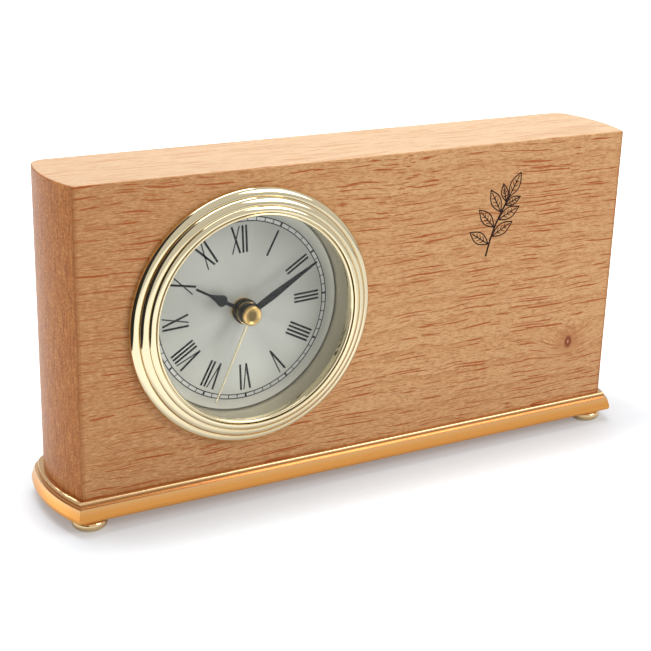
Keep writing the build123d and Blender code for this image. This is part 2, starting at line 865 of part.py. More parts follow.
def make_setting_arbor():
    at = setting_place()
    front = behind(movement_wall) + pivot_depth / 2
    rear = behind(movement_thickness + knob_gap)
    arbor = disc(setting_arbor_radius, rear, front, at)
    return arbor + pinion(
        setting_pinion_teeth, motion_module, large_shift, setting_phase, minute_work_layer, at=at)


def make_setting_knob():
    at = setting_place()
    high = behind(movement_thickness + knob_gap)
    knob = disc(knob_radius, high - knob_height, high, at)
    for number in range(knob_flute_count):
        x, y = polar(knob_radius, 360 * number / knob_flute_count)
        knob -= disc(knob_flute_radius, high - knob_height - overrun, high + overrun, (at[0] + x, at[1] + y))
    return knob


def make_centre_rim():
    body = wheel(centre_rim_teeth, centre_module, small_shift, centre_rim_phase, centre_rim_layer)
    bore = minute_arbor_radius + running_clearance
    low, high = behind(centre_rim_layer + wheel_thickness), behind(centre_rim_layer)
    return body - disc(bore, low - overrun, high + overrun)


def make_third_wheel():
    at = third_place()
    front = behind(movement_wall) + pivot_depth / 2
    rear = behind(bridge_layer + bridge_thickness)
    body = disc(small_arbor_radius, rear, front, at)
    body += pinion(
        third_pinion_teeth, centre_module, small_shift, third_pinion_phase, centre_rim_layer, at=at)
    return body + wheel(third_wheel_teeth, third_module, small_shift, third_wheel_phase, third_layer, at=at)


def make_second_wheel():
    top = dial_front + second_hand_rise + second_hand_thickness
    rear = behind(pivot_boss_front + pivot_depth / 2)
    body = disc(second_arbor_radius, rear, top)
    body += pinion(second_pinion_teeth, third_module, small_shift, second_pinion_phase, third_layer)
    return body + wheel(second_wheel_teeth, second_module, large_shift, second_wheel_phase, second_layer)


def make_intermediate_wheel():
    at = intermediate_place()
    body = disc(small_arbor_radius, behind(pivot_boss_front + pivot_depth / 2), behind(bridge_layer), at)
    body += pinion(
        intermediate_pinion_teeth, second_module, large_shift, intermediate_pinion_phase,
        second_layer, at=at)
    return body + wheel(
        intermediate_wheel_teeth, rotor_module, small_shift, intermediate_wheel_phase, intermediate_layer,
        intermediate_thickness, at=at)


def make_rotor_arbor():
    at = rotor_place()
    front = behind(movement_wall) + pivot_depth / 2
    body = disc(small_arbor_radius, behind(pivot_boss_front + pivot_depth / 2), front, at)
    body += pinion(
        rotor_pinion_teeth, rotor_module, small_shift, rotor_pinion_phase, intermediate_layer,
        intermediate_thickness, at=at)
    return body


def make_rotor_magnet():
    low, high = behind(rotor_magnet_front + rotor_magnet_length), behind(rotor_magnet_front)
    return ring(rotor_magnet_radius, small_arbor_radius, low, high, rotor_place())


# Motor and electronics

def make_stator():
    x, y = rotor_place()
    coil_x = coil_place()[0]
    low, high = behind(stator_layer + stator_thickness), behind(stator_layer)
    hole = rotor_magnet_radius + stator_air_gap
    left = x - hole - stator_outer_neck
    right = coil_x + coil_core_width / 2
    top, bottom = y + stator_half_height, y - stator_half_height
    plate = block(left, x + hole + stator_inner_neck, bottom, top, low, high)
    plate += block(left, right, top - stator_ear_height, top, low, high)
    plate += block(left, right, bottom, bottom + stator_ear_height, low, high)
    return plate - disc(hole, low - overrun, high + overrun, (x, y))


def coil_low():
    return behind(stator_layer + 2 * stator_thickness)


def coil_turned(radius, bottom, top):
    """A disc of the coil, which lies along Y with its axis at the core's middle."""
    x = coil_place()[0]
    height = coil_low() + stator_thickness / 2
    plane = Plane(origin=(x, bottom, height), x_dir=(1, 0, 0), z_dir=(0, 1, 0))
    return plane * extrude(Circle(radius), amount=top - bottom)


def make_coil_core():
    x, y = coil_place()
    half = coil_core_width / 2
    high = coil_low() + stator_thickness
    return block(x - half, x + half, y - stator_half_height, y + stator_half_height, coil_low(), high)


def coil_pipe_radius():
    return math.hypot(coil_core_width, stator_thickness) / 2 + coil_pipe_wall


def make_coil_bobbin():
    y = coil_place()[1]
    half = coil_length / 2
    body = coil_turned(coil_pipe_radius(), y - half, y + half)
    body += coil_turned(coil_flange_radius, y - half, y - half + coil_flange_thickness)
    body += coil_turned(coil_flange_radius, y + half - coil_flange_thickness, y + half)
    return body - make_coil_core()


def make_coil_winding():
    y = coil_place()[1]
    reach = coil_length / 2 - coil_flange_thickness
    low, high = y - reach, y + reach
    return coil_turned(coil_radius, low, high) - coil_turned(coil_pipe_radius(), low, high)


def make_board():
    left, top = board_corner()
    low, high = behind(board_layer + board_thickness), behind(board_layer)
    return block(left, left + board_width, top - board_height, top, low, high)


def make_chip():
    left, top = board_corner()
    x, y = left + board_width / 2, top - board_height / 2
    half = chip_size / 2
    high = behind(board_layer + board_thickness)
    return block(x - half, x + half, y - half, y + half, high - chip_height, high)


def make_crystal():
    left, top = board_corner()
    x = left + 2 * crystal_radius
    y = top - board_height / 2
    height = behind(board_layer + board_thickness) - crystal_radius
    plane = Plane(origin=(x, y - crystal_length / 2, height), x_dir=(1, 0, 0), z_dir=(0, 1, 0))
    return plane * extrude(Circle(crystal_radius), amount=crystal_length)


# Battery and its contacts

def along_x(radius, left, right):
    """A cylinder along X through the middle of the battery bay."""
    plane = Plane(origin=(left, -bay_centre_drop, behind(cell_layer)), x_dir=(0, 1, 0), z_dir=(1, 0, 0))
    return plane * extrude(Circle(radius), amount=right - left)


def cell_ends():
    """The cell's flat ends and the tip of its nub, along X."""
    half = (cell_length + cell_nub_length) / 2
    return -half, half - cell_nub_length, half


def make_cell():
    left, right, nub = cell_ends()
    return along_x(cell_radius, left, right) + along_x(cell_nub_radius, right, nub)


def contact_plate(side):
    wall = side * cavity_half_width
    near = wall - side * contact_thickness
    half = contact_width / 2
    middle = behind(cell_layer)
    return block(min(wall, near), max(wall, near), -bay_centre_drop - half, -bay_centre_drop + half,
                 middle - half, middle + half)


def contact_lead(side, top):
    wall = side * cavity_half_width
    near = wall - side * contact_thickness
    high = behind(lead_depth)
    return block(min(wall, near), max(wall, near), -bay_centre_drop, top, high - lead_width, high)


def contact_riser(left, right):
    return block(left, right, -bay_centre_drop, bay_top - bay_wall, behind(lead_depth), behind(cell_layer))


def make_negative_contact():
    left = board_corner()[0]
    top = cavity_half_height - movement_corner_radius
    face = -cavity_half_width + contact_thickness
    spring = along_x(contact_spring_radius, face, cell_ends()[0] - contact_play)
    lead = contact_lead(-1, top)
    tab_low, tab_high = behind(lead_depth + lead_width), behind(board_layer + board_thickness)
    tab = block(-cavity_half_width, left + lead_width / 2, top - lead_width, top, tab_low, tab_high)
    riser = contact_riser(-cavity_half_width, face)
    return contact_plate(-1) + riser + spring + lead + tab


def make_positive_contact():
    wall, ceiling = cavity_half_width, cavity_half_height
    side_face, top_face = wall - contact_thickness, ceiling - contact_thickness
    turn_top, turn_left = ceiling - movement_corner_radius, wall - movement_corner_radius
    dimple = along_x(contact_dimple_radius, cell_ends()[2] + contact_play, side_face)
    riser = contact_riser(side_face, wall)
    high = behind(lead_depth)
    lead = contact_lead(1, turn_top)
    slant = make_face(Polyline(
        (side_face, turn_top), (wall, turn_top), (turn_left, ceiling), (turn_left, top_face), close=True))
    turn = extrude(Pos(0, 0, high - lead_width) * slant, amount=lead_width)
    board_right = board_corner()[0] + board_width
    across = block(board_right - lead_width, turn_left, top_face, ceiling, high - lead_width, high)
    tab_high = behind(board_layer + board_thickness)
    tab = block(
        board_right - lead_width, board_right, board_corner()[1] - lead_width / 2, ceiling,
        high - lead_width, tab_high)
    return contact_plate(1) + riser + dimple + lead + turn + across + tab


# Hands

def pointed(outline, angle, low, thickness):
    """A hand drawn pointing up, turned clockwise by its angle and given its thickness."""
    return extrude(Pos(0, 0, low) * Rot(0, 0, -angle) * outline, amount=thickness)


def make_hour_hand():
    neck, tip = hour_neck_width / 2, hour_tip_width / 2
    half = hour_spade_width / 2
    shoulder = (half * hour_shoulder_share, (hour_spade_start + hour_spade_middle - neck) / 2)
    hollow = (half * hour_hollow_share, (hour_spade_middle + hour_spade_end) / 2)
    right = [
        Line((neck, 0), (neck, hour_spade_start)),
        ThreePointArc((neck, hour_spade_start), shoulder, (half, hour_spade_middle)),
        ThreePointArc((half, hour_spade_middle), (hollow[0] + tip, hollow[1]), (tip, hour_spade_end)),
        Line((tip, hour_spade_end), (tip, hour_hand_length)),
    ]
    left = [edge.mirror(Plane.YZ) for edge in right]
    caps = [Line((-tip, hour_hand_length), (tip, hour_hand_length)), Line((-neck, 0), (neck, 0))]
    low = dial_front + hour_hand_rise
    blade = pointed(make_face(right + left + caps), hour_hand_angle, low, hand_thickness)
    blade += disc(hour_hub_radius, low, low + hand_thickness)
    return blade - disc(hour_pipe_radius, low - overrun, low + hand_thickness + overrun)


def make_hour_collet():
    low = dial_front + hour_hand_rise
    foot = ring(hour_collet_foot_radius, hour_pipe_radius, low - hour_collet_foot_height, low)
    top = low + hand_thickness
    collar = ring(hour_collet_radius, hour_pipe_radius, top, top + hour_collet_height)
    return group([foot, collar])


def make_minute_hand():
    root, wide, tip = minute_root_width / 2, minute_wide_width / 2, minute_tip_width / 2
    outline = make_face(Polyline(
        (root, 0), (wide, minute_wide_place), (tip, minute_hand_length),
        (-tip, minute_hand_length), (-wide, minute_wide_place), (-root, 0), close=True))
    low = dial_front + minute_hand_rise
    blade = pointed(outline, minute_hand_angle, low, hand_thickness)
    blade += disc(minute_hub_radius, low - minute_hub_foot, low + hand_thickness)
    return blade - disc(minute_arbor_radius, low - minute_hub_foot - overrun, low + hand_thickness + overrun)


def make_second_hand():
    root, tip = second_root_width / 2, second_tip_width / 2
    outline = make_face(Polyline(
        (root, 0), (tip, second_hand_length), (-tip, second_hand_length), (-root, 0), close=True))
    low = dial_front + second_hand_rise
    blade = pointed(outline, second_hand_angle, low, second_hand_thickness)
    blade += disc(second_pipe_radius, low - second_pipe_foot, low + second_hand_thickness)
    bore = disc(second_arbor_radius, low - second_pipe_foot - overrun, low + second_hand_thickness + overrun)
    return blade - bore


def make_cap():
    low = dial_front + second_hand_rise + second_hand_thickness
    high = low + cap_height
    dish = cap_radius - cap_rim_width
    dish_sphere = (dish ** 2 + cap_dish_depth ** 2) / (2 * cap_dish_depth)
    half_turn = math.asin(dish / dish_sphere) / 2
    dish_low = high - cap_dish_depth
    dish_mid = (dish_sphere * math.sin(half_turn), dish_low + dish_sphere * (1 - math.cos(half_turn)))
    eighth = 1 - math.sqrt(0.5)
    edge_mid = (cap_radius - cap_edge_round * eighth, high - cap_edge_round * eighth)
    return turned([
        Line((0, low), (cap_radius, low)),
        Line((cap_radius, low), (cap_radius, high - cap_edge_round)),
        ThreePointArc((cap_radius, high - cap_edge_round), edge_mid, (cap_radius - cap_edge_round, high)),
        Line((cap_radius - cap_edge_round, high), (dish, high)),
        ThreePointArc((dish, high), dish_mid, (0, dish_low)),
        Line((0, dish_low), (0, low)),
    ])


# Write the nodes

save("wood_case", make_wood_case())
save("base_plate", make_base_plate())
save("base_screws", group(make_base_screw(at) for at in base_screw_places()))
save("bun_feet", group(make_foot(at) for at in foot_places()))
save("foot_screws", group(make_foot_screw(at) for at in foot_places()))

insert_nodes = {
    "bezel": make_bezel,
    "glass_lens": make_glass,
    "glass_gasket": make_gasket,
    "lip_ring": make_lip_ring,
    "dial_pan": make_dial_pan,
    "dial": make_dial,
    "friction_band": make_friction_band,
    "movement_front_shell": make_front_shell,
    "movement_back_cover": make_back_cover,
    "threaded_bushing": make_bushing,
    "bushing_nut": make_nut,
    "isolation_pad": make_isolation_pad,
    "train_bridge": make_bridge,
    "stator": make_stator,
    "coil_core": make_coil_core,
    "coil_bobbin": make_coil_bobbin,
    "coil_winding": make_coil_winding,
    "circuit_board": make_board,
    "clock_chip": make_chip,
    "quartz_crystal": make_crystal,
    "battery_contact_negative": make_negative_contact,
    "battery_contact_positive": make_positive_contact,
    "battery_cell": make_cell,
    "hour_hand": make_hour_hand,
    "hour_hand_collet": make_hour_collet,
    "minute_hand": make_minute_hand,
    "second_hand": make_second_hand,
    "second_hand_cap": make_cap,
    "minute_arbor": make_minute_arbor,
    "hour_wheel": make_hour_wheel,
    "minute_work_wheel": make_minute_work_wheel,
    "setting_arbor": make_setting_arbor,
    "setting_knob": make_setting_knob,
    "centre_wheel_rim": make_centre_rim,
    "third_wheel": make_third_wheel,
    "second_wheel": make_second_wheel,
    "intermediate_wheel": make_intermediate_wheel,
    "rotor_arbor": make_rotor_arbor,
    "rotor_magnet": make_rotor_magnet,
}
for node_name, make_node in insert_nodes.items():
    save_insert(node_name, make_node())
save_insert("pan_screws", group(make_pan_screw(at) for at in pan_screw_places()))
save_insert("cover_screws", group(make_cover_screw(at) for at in cover_screw_places()))
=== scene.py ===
# %% [markdown]
# # A wooden desk clock
# The clock is a bow-ended block of wood on a gold base plate with four small feet. A round clock
# insert sits in a bore left of the middle. The CAD model holds every solid part at its true size,
# so this lesson loads it first and then gives it its looks: materials, the print on the dial, the
# turned gold bezel, and a studio to see it in.

# %% Load the CAD model
import bpy
import json
import math
from mathutils import Matrix, Vector


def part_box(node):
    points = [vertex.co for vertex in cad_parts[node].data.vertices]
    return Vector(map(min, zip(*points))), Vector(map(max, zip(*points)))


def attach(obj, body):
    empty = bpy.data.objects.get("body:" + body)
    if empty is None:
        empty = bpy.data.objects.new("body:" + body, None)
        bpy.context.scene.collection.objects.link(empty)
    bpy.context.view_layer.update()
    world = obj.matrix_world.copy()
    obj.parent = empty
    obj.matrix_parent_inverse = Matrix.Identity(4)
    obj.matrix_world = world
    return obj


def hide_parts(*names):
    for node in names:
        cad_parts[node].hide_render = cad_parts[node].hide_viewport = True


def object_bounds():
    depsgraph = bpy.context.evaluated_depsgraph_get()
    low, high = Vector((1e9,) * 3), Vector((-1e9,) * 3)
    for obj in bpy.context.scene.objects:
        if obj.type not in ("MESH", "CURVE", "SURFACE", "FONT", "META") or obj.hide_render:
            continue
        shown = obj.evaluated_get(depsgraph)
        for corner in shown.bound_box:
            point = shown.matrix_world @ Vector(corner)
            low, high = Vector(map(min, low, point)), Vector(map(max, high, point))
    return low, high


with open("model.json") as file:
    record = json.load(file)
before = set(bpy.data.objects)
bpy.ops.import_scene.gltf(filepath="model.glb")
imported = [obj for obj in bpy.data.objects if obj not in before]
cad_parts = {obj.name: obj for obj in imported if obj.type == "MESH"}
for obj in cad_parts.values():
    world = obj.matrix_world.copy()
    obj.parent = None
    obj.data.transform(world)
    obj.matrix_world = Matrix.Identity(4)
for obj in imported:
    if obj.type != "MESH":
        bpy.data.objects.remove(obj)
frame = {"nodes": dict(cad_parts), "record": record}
cad_low, cad_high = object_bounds()
mm = 0.001
print("nodes:", len(frame["nodes"]))

# %% [markdown]
# The loaded solids are still selected, and an operator acts on everything that is selected. This
# small helper clears the selection, and is called before each new piece.


# %% Clear the selection
def select_only(*objects):
    if bpy.context.mode != "OBJECT":
        bpy.ops.object.mode_set(mode="OBJECT")
    bpy.ops.object.select_all(action="DESELECT")
    for thing in objects:
        thing.select_set(True)
    bpy.context.view_layer.objects.active = objects[0] if objects else None


select_only()

# %% [markdown]
# The main places on the clock are read from the CAD solids, so that nothing has to be fitted by hand.
# The dial's middle is the middle of the dial disc, and the front of the wood is the plane that
# the bezel lies on.

# %% Read the main places
dial_low, dial_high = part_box("dial")
wood_low, wood_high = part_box("wood_case")
base_low, base_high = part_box("base_plate")
dial_middle = Vector(((dial_low.x + dial_high.x) / 2, dial_low.y, (dial_low.z + dial_high.z) / 2))
dial_radius = (dial_high.x - dial_low.x) / 2
wood_front = wood_low.y
print("dial middle:", [round(v / mm, 2) for v in dial_middle], "radius:", round(dial_radius / mm, 2))
print("wood front:", round(wood_front / mm, 2))

# %% [markdown]
# ## The camera
# The photograph was taken from in front, a little above the clock and from its left side. The
# camera's place was found by fitting the corners of the block, its back edge, the bezel and the
# base to the photograph, and it is written here as plain numbers.

# %% Place the camera
camera_place = (-0.24815, -0.41615, 0.22144)
camera_turn = (70.434, -1.517, -29.519)
camera_lens = 77.994
camera_data = bpy.data.cameras.new("view_camera")
camera_data.lens = camera_lens
camera_data.sensor_width = 36.0
camera = bpy.data.objects.new("view_camera", camera_data)
bpy.context.scene.collection.objects.link(camera)
camera.location = camera_place
camera.rotation_euler = [math.radians(a) for a in camera_turn]
bpy.context.scene.camera = camera
print("camera lens in mm:", camera_lens)

# %% [markdown]
# ## Building materials from nodes
# A material is a small network of nodes. A few helpers keep the cells short: they add a node and
# fill its sockets, mix two colours, calculate with values, and read where a point lies on its
# object and which way it faces.


# %% Node helpers
def add_node(tree, kind, settings=None, **sockets):
    node = tree.nodes.new(kind)
    for name, value in (settings or {}).items():
        setattr(node, name, value)
    for name, value in sockets.items():
        put(tree, node, name.replace("_", " "), value)
    return node


def feed(tree, socket, value):
    if isinstance(value, bpy.types.NodeSocket):
        tree.links.new(value, socket)
    else:
        socket.default_value = value


def put(tree, node, name, value):
    feed(tree, node.inputs[int(name)] if name.isdigit() else node.inputs[name], value)


def start_material(name):
    material = bpy.data.materials.new(name)
    material.use_nodes = True
    tree = material.node_tree
    shader = tree.nodes["Principled BSDF"]
    return material, tree, shader


def blend_colors(tree, share, first, second):
    mixer = add_node(tree, "ShaderNodeMix", {"data_type": "RGBA"}, **{"0": share, "6": first, "7": second})
    return mixer.outputs[2]


def scale_between(tree, value, low, high):
    node = add_node(tree, "ShaderNodeMapRange", None, Value=value, To_Min=low, To_Max=high)
    return node.outputs["Result"]


def calculate(tree, operation, first, second=0.0):
    node = add_node(tree, "ShaderNodeMath", {"operation": operation}, **{"0": first, "1": second})
    return node.outputs[0]


def separate(tree, vector, letter):
    return add_node(tree, "ShaderNodeSeparateXYZ", None, Vector=vector).outputs[letter]


def object_place(tree):
    return add_node(tree, "ShaderNodeTexCoord").outputs["Object"]


def facing(tree):
    return add_node(tree, "ShaderNodeTexCoord").outputs["Normal"]


# %% [markdown]
# A node group is a network with a name, and is used in more than one material. Two more helpers
# start a group with its inputs and outputs, and place it in a material.


# %% Group helpers
def start_group(name, inputs, outputs):
    group = bpy.data.node_groups.new(name, "ShaderNodeTree")
    for label, kind, value in inputs:
        socket = group.interface.new_socket(name=label, in_out="INPUT", socket_type=kind)
        socket.default_value = value
    for label, kind in outputs:
        group.interface.new_socket(name=label, in_out="OUTPUT", socket_type=kind)
    entry = group.nodes.new("NodeGroupInput")
    leave = group.nodes.new("NodeGroupOutput")
    return group, entry, leave


def use_group(tree, group, **sockets):
    return add_node(tree, "ShaderNodeGroup", {"node_tree": group}, **sockets)


# %% [markdown]
# ### Wood figure
# The block is cut from a board whose growth rings run along its length, so the front shows long,
# nearly level lines, and between them the reddish dashes of open pores. A single texture can't
# draw all that. So the colour is built up as a finisher would do it: a ground first, and then one
# stain after another, each laid on through a mask. First come the helpers for masks and stains.

# %% Mask and stain helpers
FLOAT = "NodeSocketFloat"
COLOR = "NodeSocketColor"


def stretched_place(tree, place, along, across):
    node = add_node(tree, "ShaderNodeMapping", None, Vector=place, Scale=(along, across, across))
    return node.outputs["Vector"]


def noise_at(tree, place, scale, detail, roughness=0.5):
    return add_node(
        tree, "ShaderNodeTexNoise", None, Vector=place, Scale=scale, Detail=detail, Roughness=roughness
    )


def ramp(tree, value, stops):
    node = add_node(tree, "ShaderNodeValToRGB", None, Fac=value)
    elements = node.color_ramp.elements
    while len(elements) < len(stops):
        elements.new(0.5)
    for element, (position, color) in zip(elements, stops):
        element.position = position
        element.color = (*color, 1.0)
    return node.outputs["Color"]


def black_to_white(tree, value, black, white):
    """A mask: 0 at one value and 1 at the other, whichever of them is the higher."""
    stops = [(black, (0, 0, 0)), (white, (1, 1, 1))]
    return ramp(tree, value, sorted(stops))


def vector_math(tree, operation, first, second=None):
    node = add_node(tree, "ShaderNodeVectorMath", {"operation": operation}, **{"0": first})
    if second is not None:
        put(tree, node, "1", second)
    return node.outputs["Value" if operation == "LENGTH" else "Vector"]


def fade_out(tree, value, inner, outer):
    """1 where the value is below the inner bound, falling smoothly to 0 at the outer one."""
    node = add_node(
        tree,
        "ShaderNodeMapRange",
        {"interpolation_type": "SMOOTHSTEP"},
        Value=value,
        From_Min=inner,
        From_Max=outer,
        To_Min=1.0,
        To_Max=0.0,
    )
    return node.outputs["Result"]


def round_mask(tree, place, middle, stretch, inner, outer):
    """1 inside a stretched ball round a place on the block, fading to 0 outside it."""
    shaped = vector_math(tree, "MULTIPLY", vector_math(tree, "SUBTRACT", place, middle), stretch)
    return fade_out(tree, vector_math(tree, "LENGTH", shaped), inner, outer)


def stain(tree, under, mask, strength, color):
    return blend_colors(tree, calculate(tree, "MULTIPLY", mask, strength), under, (*color, 1.0))


# %% [markdown]
# Open pores are thin dashes along the grain. Noise that is cut off sharply could give them, but it
# comes out as blobs. So each dash is drawn round the one random point of a long flat Voronoi cell.


# %% Dashes
def dashes(tree, place, cell, half, least, most):
    """Thin dashes with tapered ends, one to a cell, each of its own size. Lengths are in mm."""
    solid_core_share = 0.35
    per_cell = [1.0 / (size * mm) for size in cell]
    cells = add_node(tree, "ShaderNodeMapping", None, Vector=place, Scale=per_cell).outputs["Vector"]
    points = add_node(tree, "ShaderNodeTexVoronoi", None, Vector=cells, Scale=1.0)
    shift = vector_math(tree, "SUBTRACT", cells, points.outputs["Position"])
    shaped = vector_math(tree, "MULTIPLY", shift, [size / reach for size, reach in zip(cell, half)])
    chance = separate(tree, points.outputs["Color"], "X")
    outer = scale_between(tree, chance, least, most)
    inner = calculate(tree, "MULTIPLY", outer, solid_core_share)
    return fade_out(tree, vector_math(tree, "LENGTH", shaped), inner, outer)


# %% [markdown]
# A small knot sits low on the right, and the growth rings part round it. A Wave texture draws rings,
# but real ones wander. So the place where they are read is first lifted near the knot, and pushed
# about everywhere by a long, stretched noise. The rings circle a line behind and under the block.

# %% Bent grain and rings
knot_middle = (90.2 * mm, wood_front, 35.4 * mm)
knot_reach = 11.0 * mm
knot_rise = 4.5 * mm
grain_sway = (0.0, 8.0 * mm, 9.0 * mm)
ring_middle = (0.0, -95.0 * mm, 55.0 * mm)


def bent_grain(tree, place):
    near_knot = round_mask(tree, place, knot_middle, (0.55, 1.0, 1.0), 0.0, knot_reach)
    rise = calculate(tree, "MULTIPLY", near_knot, knot_rise)
    lift = add_node(tree, "ShaderNodeCombineXYZ", None, Z=rise)
    wander = noise_at(tree, stretched_place(tree, place, 15.0, 26.0), 1.0, 3.0)
    sway = vector_math(tree, "MULTIPLY", wander.outputs["Color"], grain_sway)
    return vector_math(tree, "ADD", vector_math(tree, "ADD", place, sway), lift.outputs[0])


def growth_rings(tree, grain):
    ring_line = add_node(tree, "ShaderNodeMapping", None, Vector=grain, Location=ring_middle)
    rings = add_node(
        tree,
        "ShaderNodeTexWave",
        {"wave_type": "RINGS", "rings_direction": "X", "wave_profile": "SAW"},
        Vector=ring_line.outputs["Vector"],
        Scale=48.0,
        Distortion=1.2,
        Detail=2.0,
        Detail_Scale=3.0,
    )
    return rings.outputs["Fac"]


# %% [markdown]
# The ground is the planed board: its rings, some darker patches, a painted shade that browns the left end
# and fades out just past the middle, and the fine mottle that open wood shows from near by.

# %% Board colour
shade_fade_end = 20.0 * mm


def board_color(tree, place, rings, mottle):
    stops = [(0.0, (0.75, 0.430, 0.198)), (0.7, (0.71, 0.385, 0.168)), (1.0, (0.62, 0.305, 0.120))]
    patches = noise_at(tree, stretched_place(tree, place, 9.0, 26.0), 1.0, 2.0)
    patch_share = scale_between(tree, patches.outputs[0], -0.25, 0.85)
    patched = stain(tree, ramp(tree, rings, stops), patch_share, 1.0, (0.60, 0.275, 0.110))
    # painted shade: the front is browner towards its left end
    left_painted_light_share = fade_out(tree, separate(tree, place, "X"), wood_low.x, shade_fade_end)
    left_shaded = stain(tree, patched, left_painted_light_share, 0.62, (0.50, 0.210, 0.072))
    darker = black_to_white(tree, mottle, 0.50, 0.68)
    paler = black_to_white(tree, mottle, 0.50, 0.32)
    mottled = stain(tree, left_shaded, darker, 0.66, (0.40, 0.160, 0.056))
    return stain(tree, mottled, paler, 0.45, (0.86, 0.55, 0.28))


# %% [markdown]
# The knot is a red halo with a dark oval in it, and a paler split in that. The ends of the block
# show no long lines but cut fibres, which stand in upright rows with the dots of cut pores.


# %% Knot and end grain
def knot_marks(tree, place, under):
    marks = [
        ((0.62, 1.0, 1.0), 1.5 * mm, 7.0 * mm, 0.50, (0.48, 0.165, 0.050)),
        ((0.8, 0.3, 0.55), 0.8 * mm, 1.9 * mm, 0.90, (0.24, 0.040, 0.010)),
        ((1.9, 0.3, 0.60), 0.20 * mm, 0.7 * mm, 1.0, (0.75, 0.42, 0.26)),
    ]
    for stretch, inner, outer, strength, color in marks:
        mark = round_mask(tree, place, knot_middle, stretch, inner, outer)
        under = stain(tree, under, mark, strength, color)
    return under


def end_grain(tree, place, grain, rings):
    fibres = add_node(tree, "ShaderNodeMapping", None, Vector=grain, Scale=(150.0, 1100.0, 160.0))
    rows = noise_at(tree, fibres.outputs["Vector"], 1.0, 3.0, 0.6)
    stops = [(0.28, (0.41, 0.108, 0.020)), (0.50, (0.61, 0.208, 0.041)), (0.72, (0.73, 0.300, 0.080))]
    ringed = stain(tree, ramp(tree, rows.outputs[0], stops), rings, 0.30, (0.44, 0.140, 0.038))
    dots = noise_at(tree, stretched_place(tree, place, 1500.0, 1300.0), 1.0, 1.0, 0.7).outputs[0]
    dotted = stain(tree, ringed, black_to_white(tree, dots, 0.52, 0.66), 0.50, (0.34, 0.095, 0.022))
    return stain(tree, dotted, black_to_white(tree, dots, 0.48, 0.34), 0.32, (0.86, 0.45, 0.155))


# %% [markdown]
# Now the layers come together in one group, which gives the colour, the roughness and the height.
# Ends and top could be separate materials, but one material can tell them by the way they face.
# The top is painted paler, as painted light from the lamp above, so only its longer marks show.

# %% Build the wood figure group
corner_x = wood_high.x - 3.7 * mm


def build_wood_figure():
    group, entry, leave = start_group(
        "wood_figure",
        [("Pore Depth", FLOAT, 1.0)],
        [("Color", COLOR), ("Roughness", FLOAT), ("Height", FLOAT)],
    )
    place = object_place(group)
    grain = bent_grain(group, place)
    rings = growth_rings(group, grain)
    mottle = noise_at(group, stretched_place(group, grain, 420.0, 2500.0), 1.0, 2.0, 0.75).outputs[0]
    board = board_color(group, place, rings, mottle)
    # long red streaks, thinner hairs, and short fine pores
    streaks = dashes(group, grain, (26.0, 0.60, 1.6), (17.0, 0.37, 0.33), 0.35, 1.3)
    hairs = dashes(group, grain, (14.0, 0.5, 1.2), (8.0, 0.28, 0.18), 0.25, 1.25)
    pores = dashes(group, grain, (2.6, 0.5, 0.8), (0.9, 0.25, 0.13), 0.3, 1.1)
    haired = stain(group, board, hairs, 0.78, (0.46, 0.140, 0.034))
    streaked = stain(group, haired, streaks, 0.95, (0.41, 0.080, 0.011))
    pored = stain(group, streaked, pores, 0.30, (0.26, 0.085, 0.030))
    front = knot_marks(group, place, pored)
    sideways = calculate(group, "ABSOLUTE", separate(group, facing(group), "X"))
    front_share = fade_out(group, sideways, 0.85, 0.60)
    sided = blend_colors(group, front_share, front, end_grain(group, place, grain, rings))
    # painted light: faces that look up are painted paler
    top_painted_light_share = fade_out(group, separate(group, facing(group), "Z"), 0.95, 0.75)
    top_painted_paler = stain(group, sided, top_painted_light_share, 0.50, (0.82, 0.64, 0.43))
    top_marks = calculate(group, "MULTIPLY", calculate(group, "MAXIMUM", hairs, streaks), top_painted_light_share)
    top_streaked = stain(group, top_painted_paler, top_marks, 0.60, (0.55, 0.27, 0.10))
    # the upright front corners are darker
    corners = [
        round_mask(group, place, (side * corner_x, wood_front, 0.0), (1.0, 1.0, 0.0), 0.3 * mm, 1.3 * mm)
        for side in (-1.0, 1.0)
    ]
    colored = stain(group, top_streaked, calculate(group, "ADD", *corners), 0.50, (0.40, 0.140, 0.040))
    group.links.new(colored, leave.inputs["Color"])
    # pores and streaks are rougher than the wood round them, and sunk into it
    marks = calculate(group, "MAXIMUM", pores, streaks)
    group.links.new(scale_between(group, marks, 0.38, 0.60), leave.inputs["Roughness"])
    sunk_marks = calculate(group, "MULTIPLY", marks, entry.outputs["Pore Depth"])
    fibre_height = calculate(group, "MULTIPLY", mottle, 0.5)
    group.links.new(calculate(group, "SUBTRACT", fibre_height, sunk_marks), leave.inputs["Height"])
    return group


wood_figure = build_wood_figure()
print("wood figure nodes:", len(wood_figure.nodes))

# %% [markdown]
# ### Fine surface marks
# Plated and polished metal is never perfectly even. Two small groups serve every other finish:
# one gives soft smudges and hairlines for metal, and one gives the tiny pebbled skin of moulded
# plastic, rubber and paint.


# %% Build the metal and moulded groups
def build_metal_marks():
    group, entry, leave = start_group(
        "metal_marks",
        [("Color", COLOR, (0.8, 0.8, 0.8, 1.0)), ("Base Roughness", FLOAT, 0.1)],
        [("Color", COLOR), ("Roughness", FLOAT), ("Height", FLOAT)],
    )
    place = object_place(group)
    smudges = noise_at(group, place, 60.0, 3.0)
    hairlines = noise_at(group, place, 900.0, 2.0)
    smudge_share = black_to_white(group, smudges.outputs[0], 0.35, 0.75)
    darker = blend_colors(group, smudge_share, entry.outputs["Color"], (0.0, 0.0, 0.0, 1.0))
    toned = blend_colors(group, 0.06, entry.outputs["Color"], darker)
    group.links.new(toned, leave.inputs["Color"])
    spread = scale_between(group, smudges.outputs[0], 0.75, 1.35)
    rough = calculate(group, "MULTIPLY", entry.outputs["Base Roughness"], spread)
    group.links.new(rough, leave.inputs["Roughness"])
    group.links.new(hairlines.outputs[0], leave.inputs["Height"])
    return group


